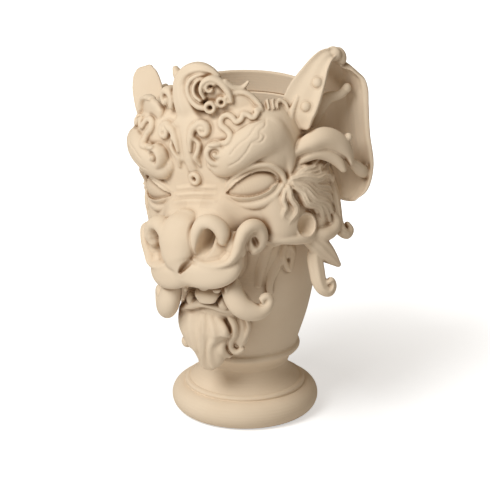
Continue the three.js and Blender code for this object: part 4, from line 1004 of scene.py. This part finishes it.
def colour(*values):
    """An sRGB colour from 0 to 255 as the linear light that a shader takes."""
    share = np.array(values) / 255
    return (*np.where(share <= 0.04045, share / 12.92, ((share + 0.055) / 1.055) ** 2.4), 1.0)


print("white as light:", colour(255, 255, 255)[0])

# %% [markdown]
# ## Earthenware
# Biscuit-fired clay is matte and nearly even in colour. Its hollows are painted warmer and darker, as
# painted shade, and small random specks are paler. Its surface has a fine tooth.

# %% Clay material
# The second colour is painted shade: the warm brown of shadow in the hollows.
bare_clay, painted_shade_clay = colour(229, 209, 183), colour(148, 113, 79)
cloud_clay, dust = colour(216, 192, 162), colour(240, 228, 208)


def earthenware(name, rings):
    """The colour runs from the bare clay to a darker, warmer painted shade with the hollow attribute, and
    clouds and specks tint it.
    A turned piece also has fine rings: the sine of 2400 times its height in metres."""
    material, shader, base = fresh_material(name)
    where = base.out(base.node("ShaderNodeTexCoord"), "Object")
    hollow = base.out(base.node("ShaderNodeAttribute", {"attribute_name": "hollow"}), "Fac")
    cloud = base.noise(where, 22.0, 4.0)
    tooth = base.noise(where, 900.0, 3.0, 0.6)
    speck = base.noise(where, 2600.0, 1.0)
    # Painted shade: the colour goes towards the dark, warm one where the hollow attribute is high.
    painted_shade_mix = base.mixed(hollow.span(0.12, 0.9), bare_clay, painted_shade_clay)
    patched = base.mixed(cloud.span(0.42, 0.66) * 0.25, painted_shade_mix, cloud_clay)
    dusted = base.mixed(speck.span(0.66, 0.8) * 0.12, patched, dust)
    dusted.feed(shader, "Base Color")
    (0.86 + 0.08 * tooth).feed(shader, "Roughness")
    relief = tooth * 0.6 + cloud * 0.4
    if rings:
        height = base.out(base.node("ShaderNodeSeparateXYZ", i0=where), "Z")
        band = base.maths("SINE", height * 2400.0 + cloud * 9.0)
        relief = relief + band * 0.25
    bump = base.node("ShaderNodeBump", Strength=0.22, Distance=0.0006, Height=relief)
    base.out(bump, "Normal").feed(shader, "Normal")
    shader.inputs["Specular IOR Level"].default_value = 0.3
    return material


modelled = earthenware("modelled_clay", False)
wheel = earthenware("turned_clay", True)
for piece in bpy.data.objects:
    if piece.name.startswith("clay_"):
        piece.data.materials.append(modelled)
    if piece.name.startswith("turned_"):
        piece.data.materials.append(wheel)
for node in frame["nodes"].values():
    for slot in node.material_slots:
        slot.material = modelled
print("materials:", modelled.name, wheel.name)

# %% [markdown]
# ## Floor and light
# One soft round window stands at the left of the camera, turned to the vase by the arctangents of the way
# there, and the room fills the shadows. The paper under the vase is white to the camera and to mirrors only:
# it keeps the shadow, and throws no more light on the clay than plain paper does.

# %% Paper
def paper():
    """Plain paper plus a glow that only rays from the camera and through gloss or glass can see. It grows
    in a straight line between two distances from the vase, so it is weakest next to the vase, where it
    paints shade on the paper round the foot."""
    material, shader, base = fresh_material("paper")
    shader.inputs["Base Color"].default_value = (0.8, 0.8, 0.8, 1)
    shader.inputs["Roughness"].default_value = 0.9
    shader.inputs["Specular IOR Level"].default_value = 0.0
    path = base.node("ShaderNodeLightPath")
    seen = base.out(path, "Is Camera Ray")
    for word in ("Is Glossy Ray", "Is Transmission Ray"):
        seen = seen.maths("MAXIMUM", seen, base.out(path, word))
    where = base.out(base.node("ShaderNodeTexCoord"), "Object")
    away = base.out(base.node("ShaderNodeVectorMath", {"operation": "LENGTH"}, i0=where), "Value")
    # The glow is weakest near the vase: this paints shade on the paper round the foot.
    strength = paper_glow + (1 - paper_glow) * away.span(*painted_floor_shade_distances)
    glow = base.node("ShaderNodeEmission", Color=(1, 1, 1, 1), Strength=seen * strength)
    lit = base.node("ShaderNodeAddShader", i0=base.out(shader, 0), i1=base.out(glow, 0))
    base.out(lit, 0).feed(material.node_tree.nodes["Material Output"], "Surface")
    return material


# The glow next to the vase, and the distances over which it grows to full white. The weaker glow near the
# vase is painted shade.
paper_glow, painted_floor_shade_distances = 0.52, (0.12, 0.5)
half = 6.0
floor_mesh = bpy.data.meshes.new("floor")
floor_mesh.from_pydata([(-half, -half, 0), (half, -half, 0), (half, half, 0), (-half, half, 0)], [],
                       [(0, 1, 2, 3)])
floor = bpy.data.objects.new("floor", floor_mesh)
floor_mesh.materials.append(paper())
bpy.context.scene.collection.objects.link(floor)
print("floor:", 2 * half, "m wide")

# %% Room and window
room_tint, room_strength = (1, 0.87, 0.71, 1), 0.25
room = bpy.data.worlds.new("room")
bpy.context.scene.world = room
room.use_nodes = True
backdrop = room.node_tree.nodes["Background"]
backdrop.inputs["Color"].default_value = room_tint
backdrop.inputs["Strength"].default_value = room_strength

window_data = bpy.data.lights.new("window", "AREA")
window_data.shape, window_data.size = "DISK", 1.2
window_data.energy, window_data.color = 41.0, (0.95, 0.98, 1.0)
window = bpy.data.objects.new("window", window_data)
window_place, window_target = np.array([-0.2, -1.61, 1.7]), np.array([0, 0, 0.17])
window.location = window_place
way = window_target - window_place
window.rotation_euler = (math.atan2(math.hypot(way[0], way[1]), -way[2]), 0, math.atan2(-way[0], way[1]))
bpy.context.scene.collection.objects.link(window)
bpy.context.scene.view_settings.view_transform = "Standard"
print("stage ready")
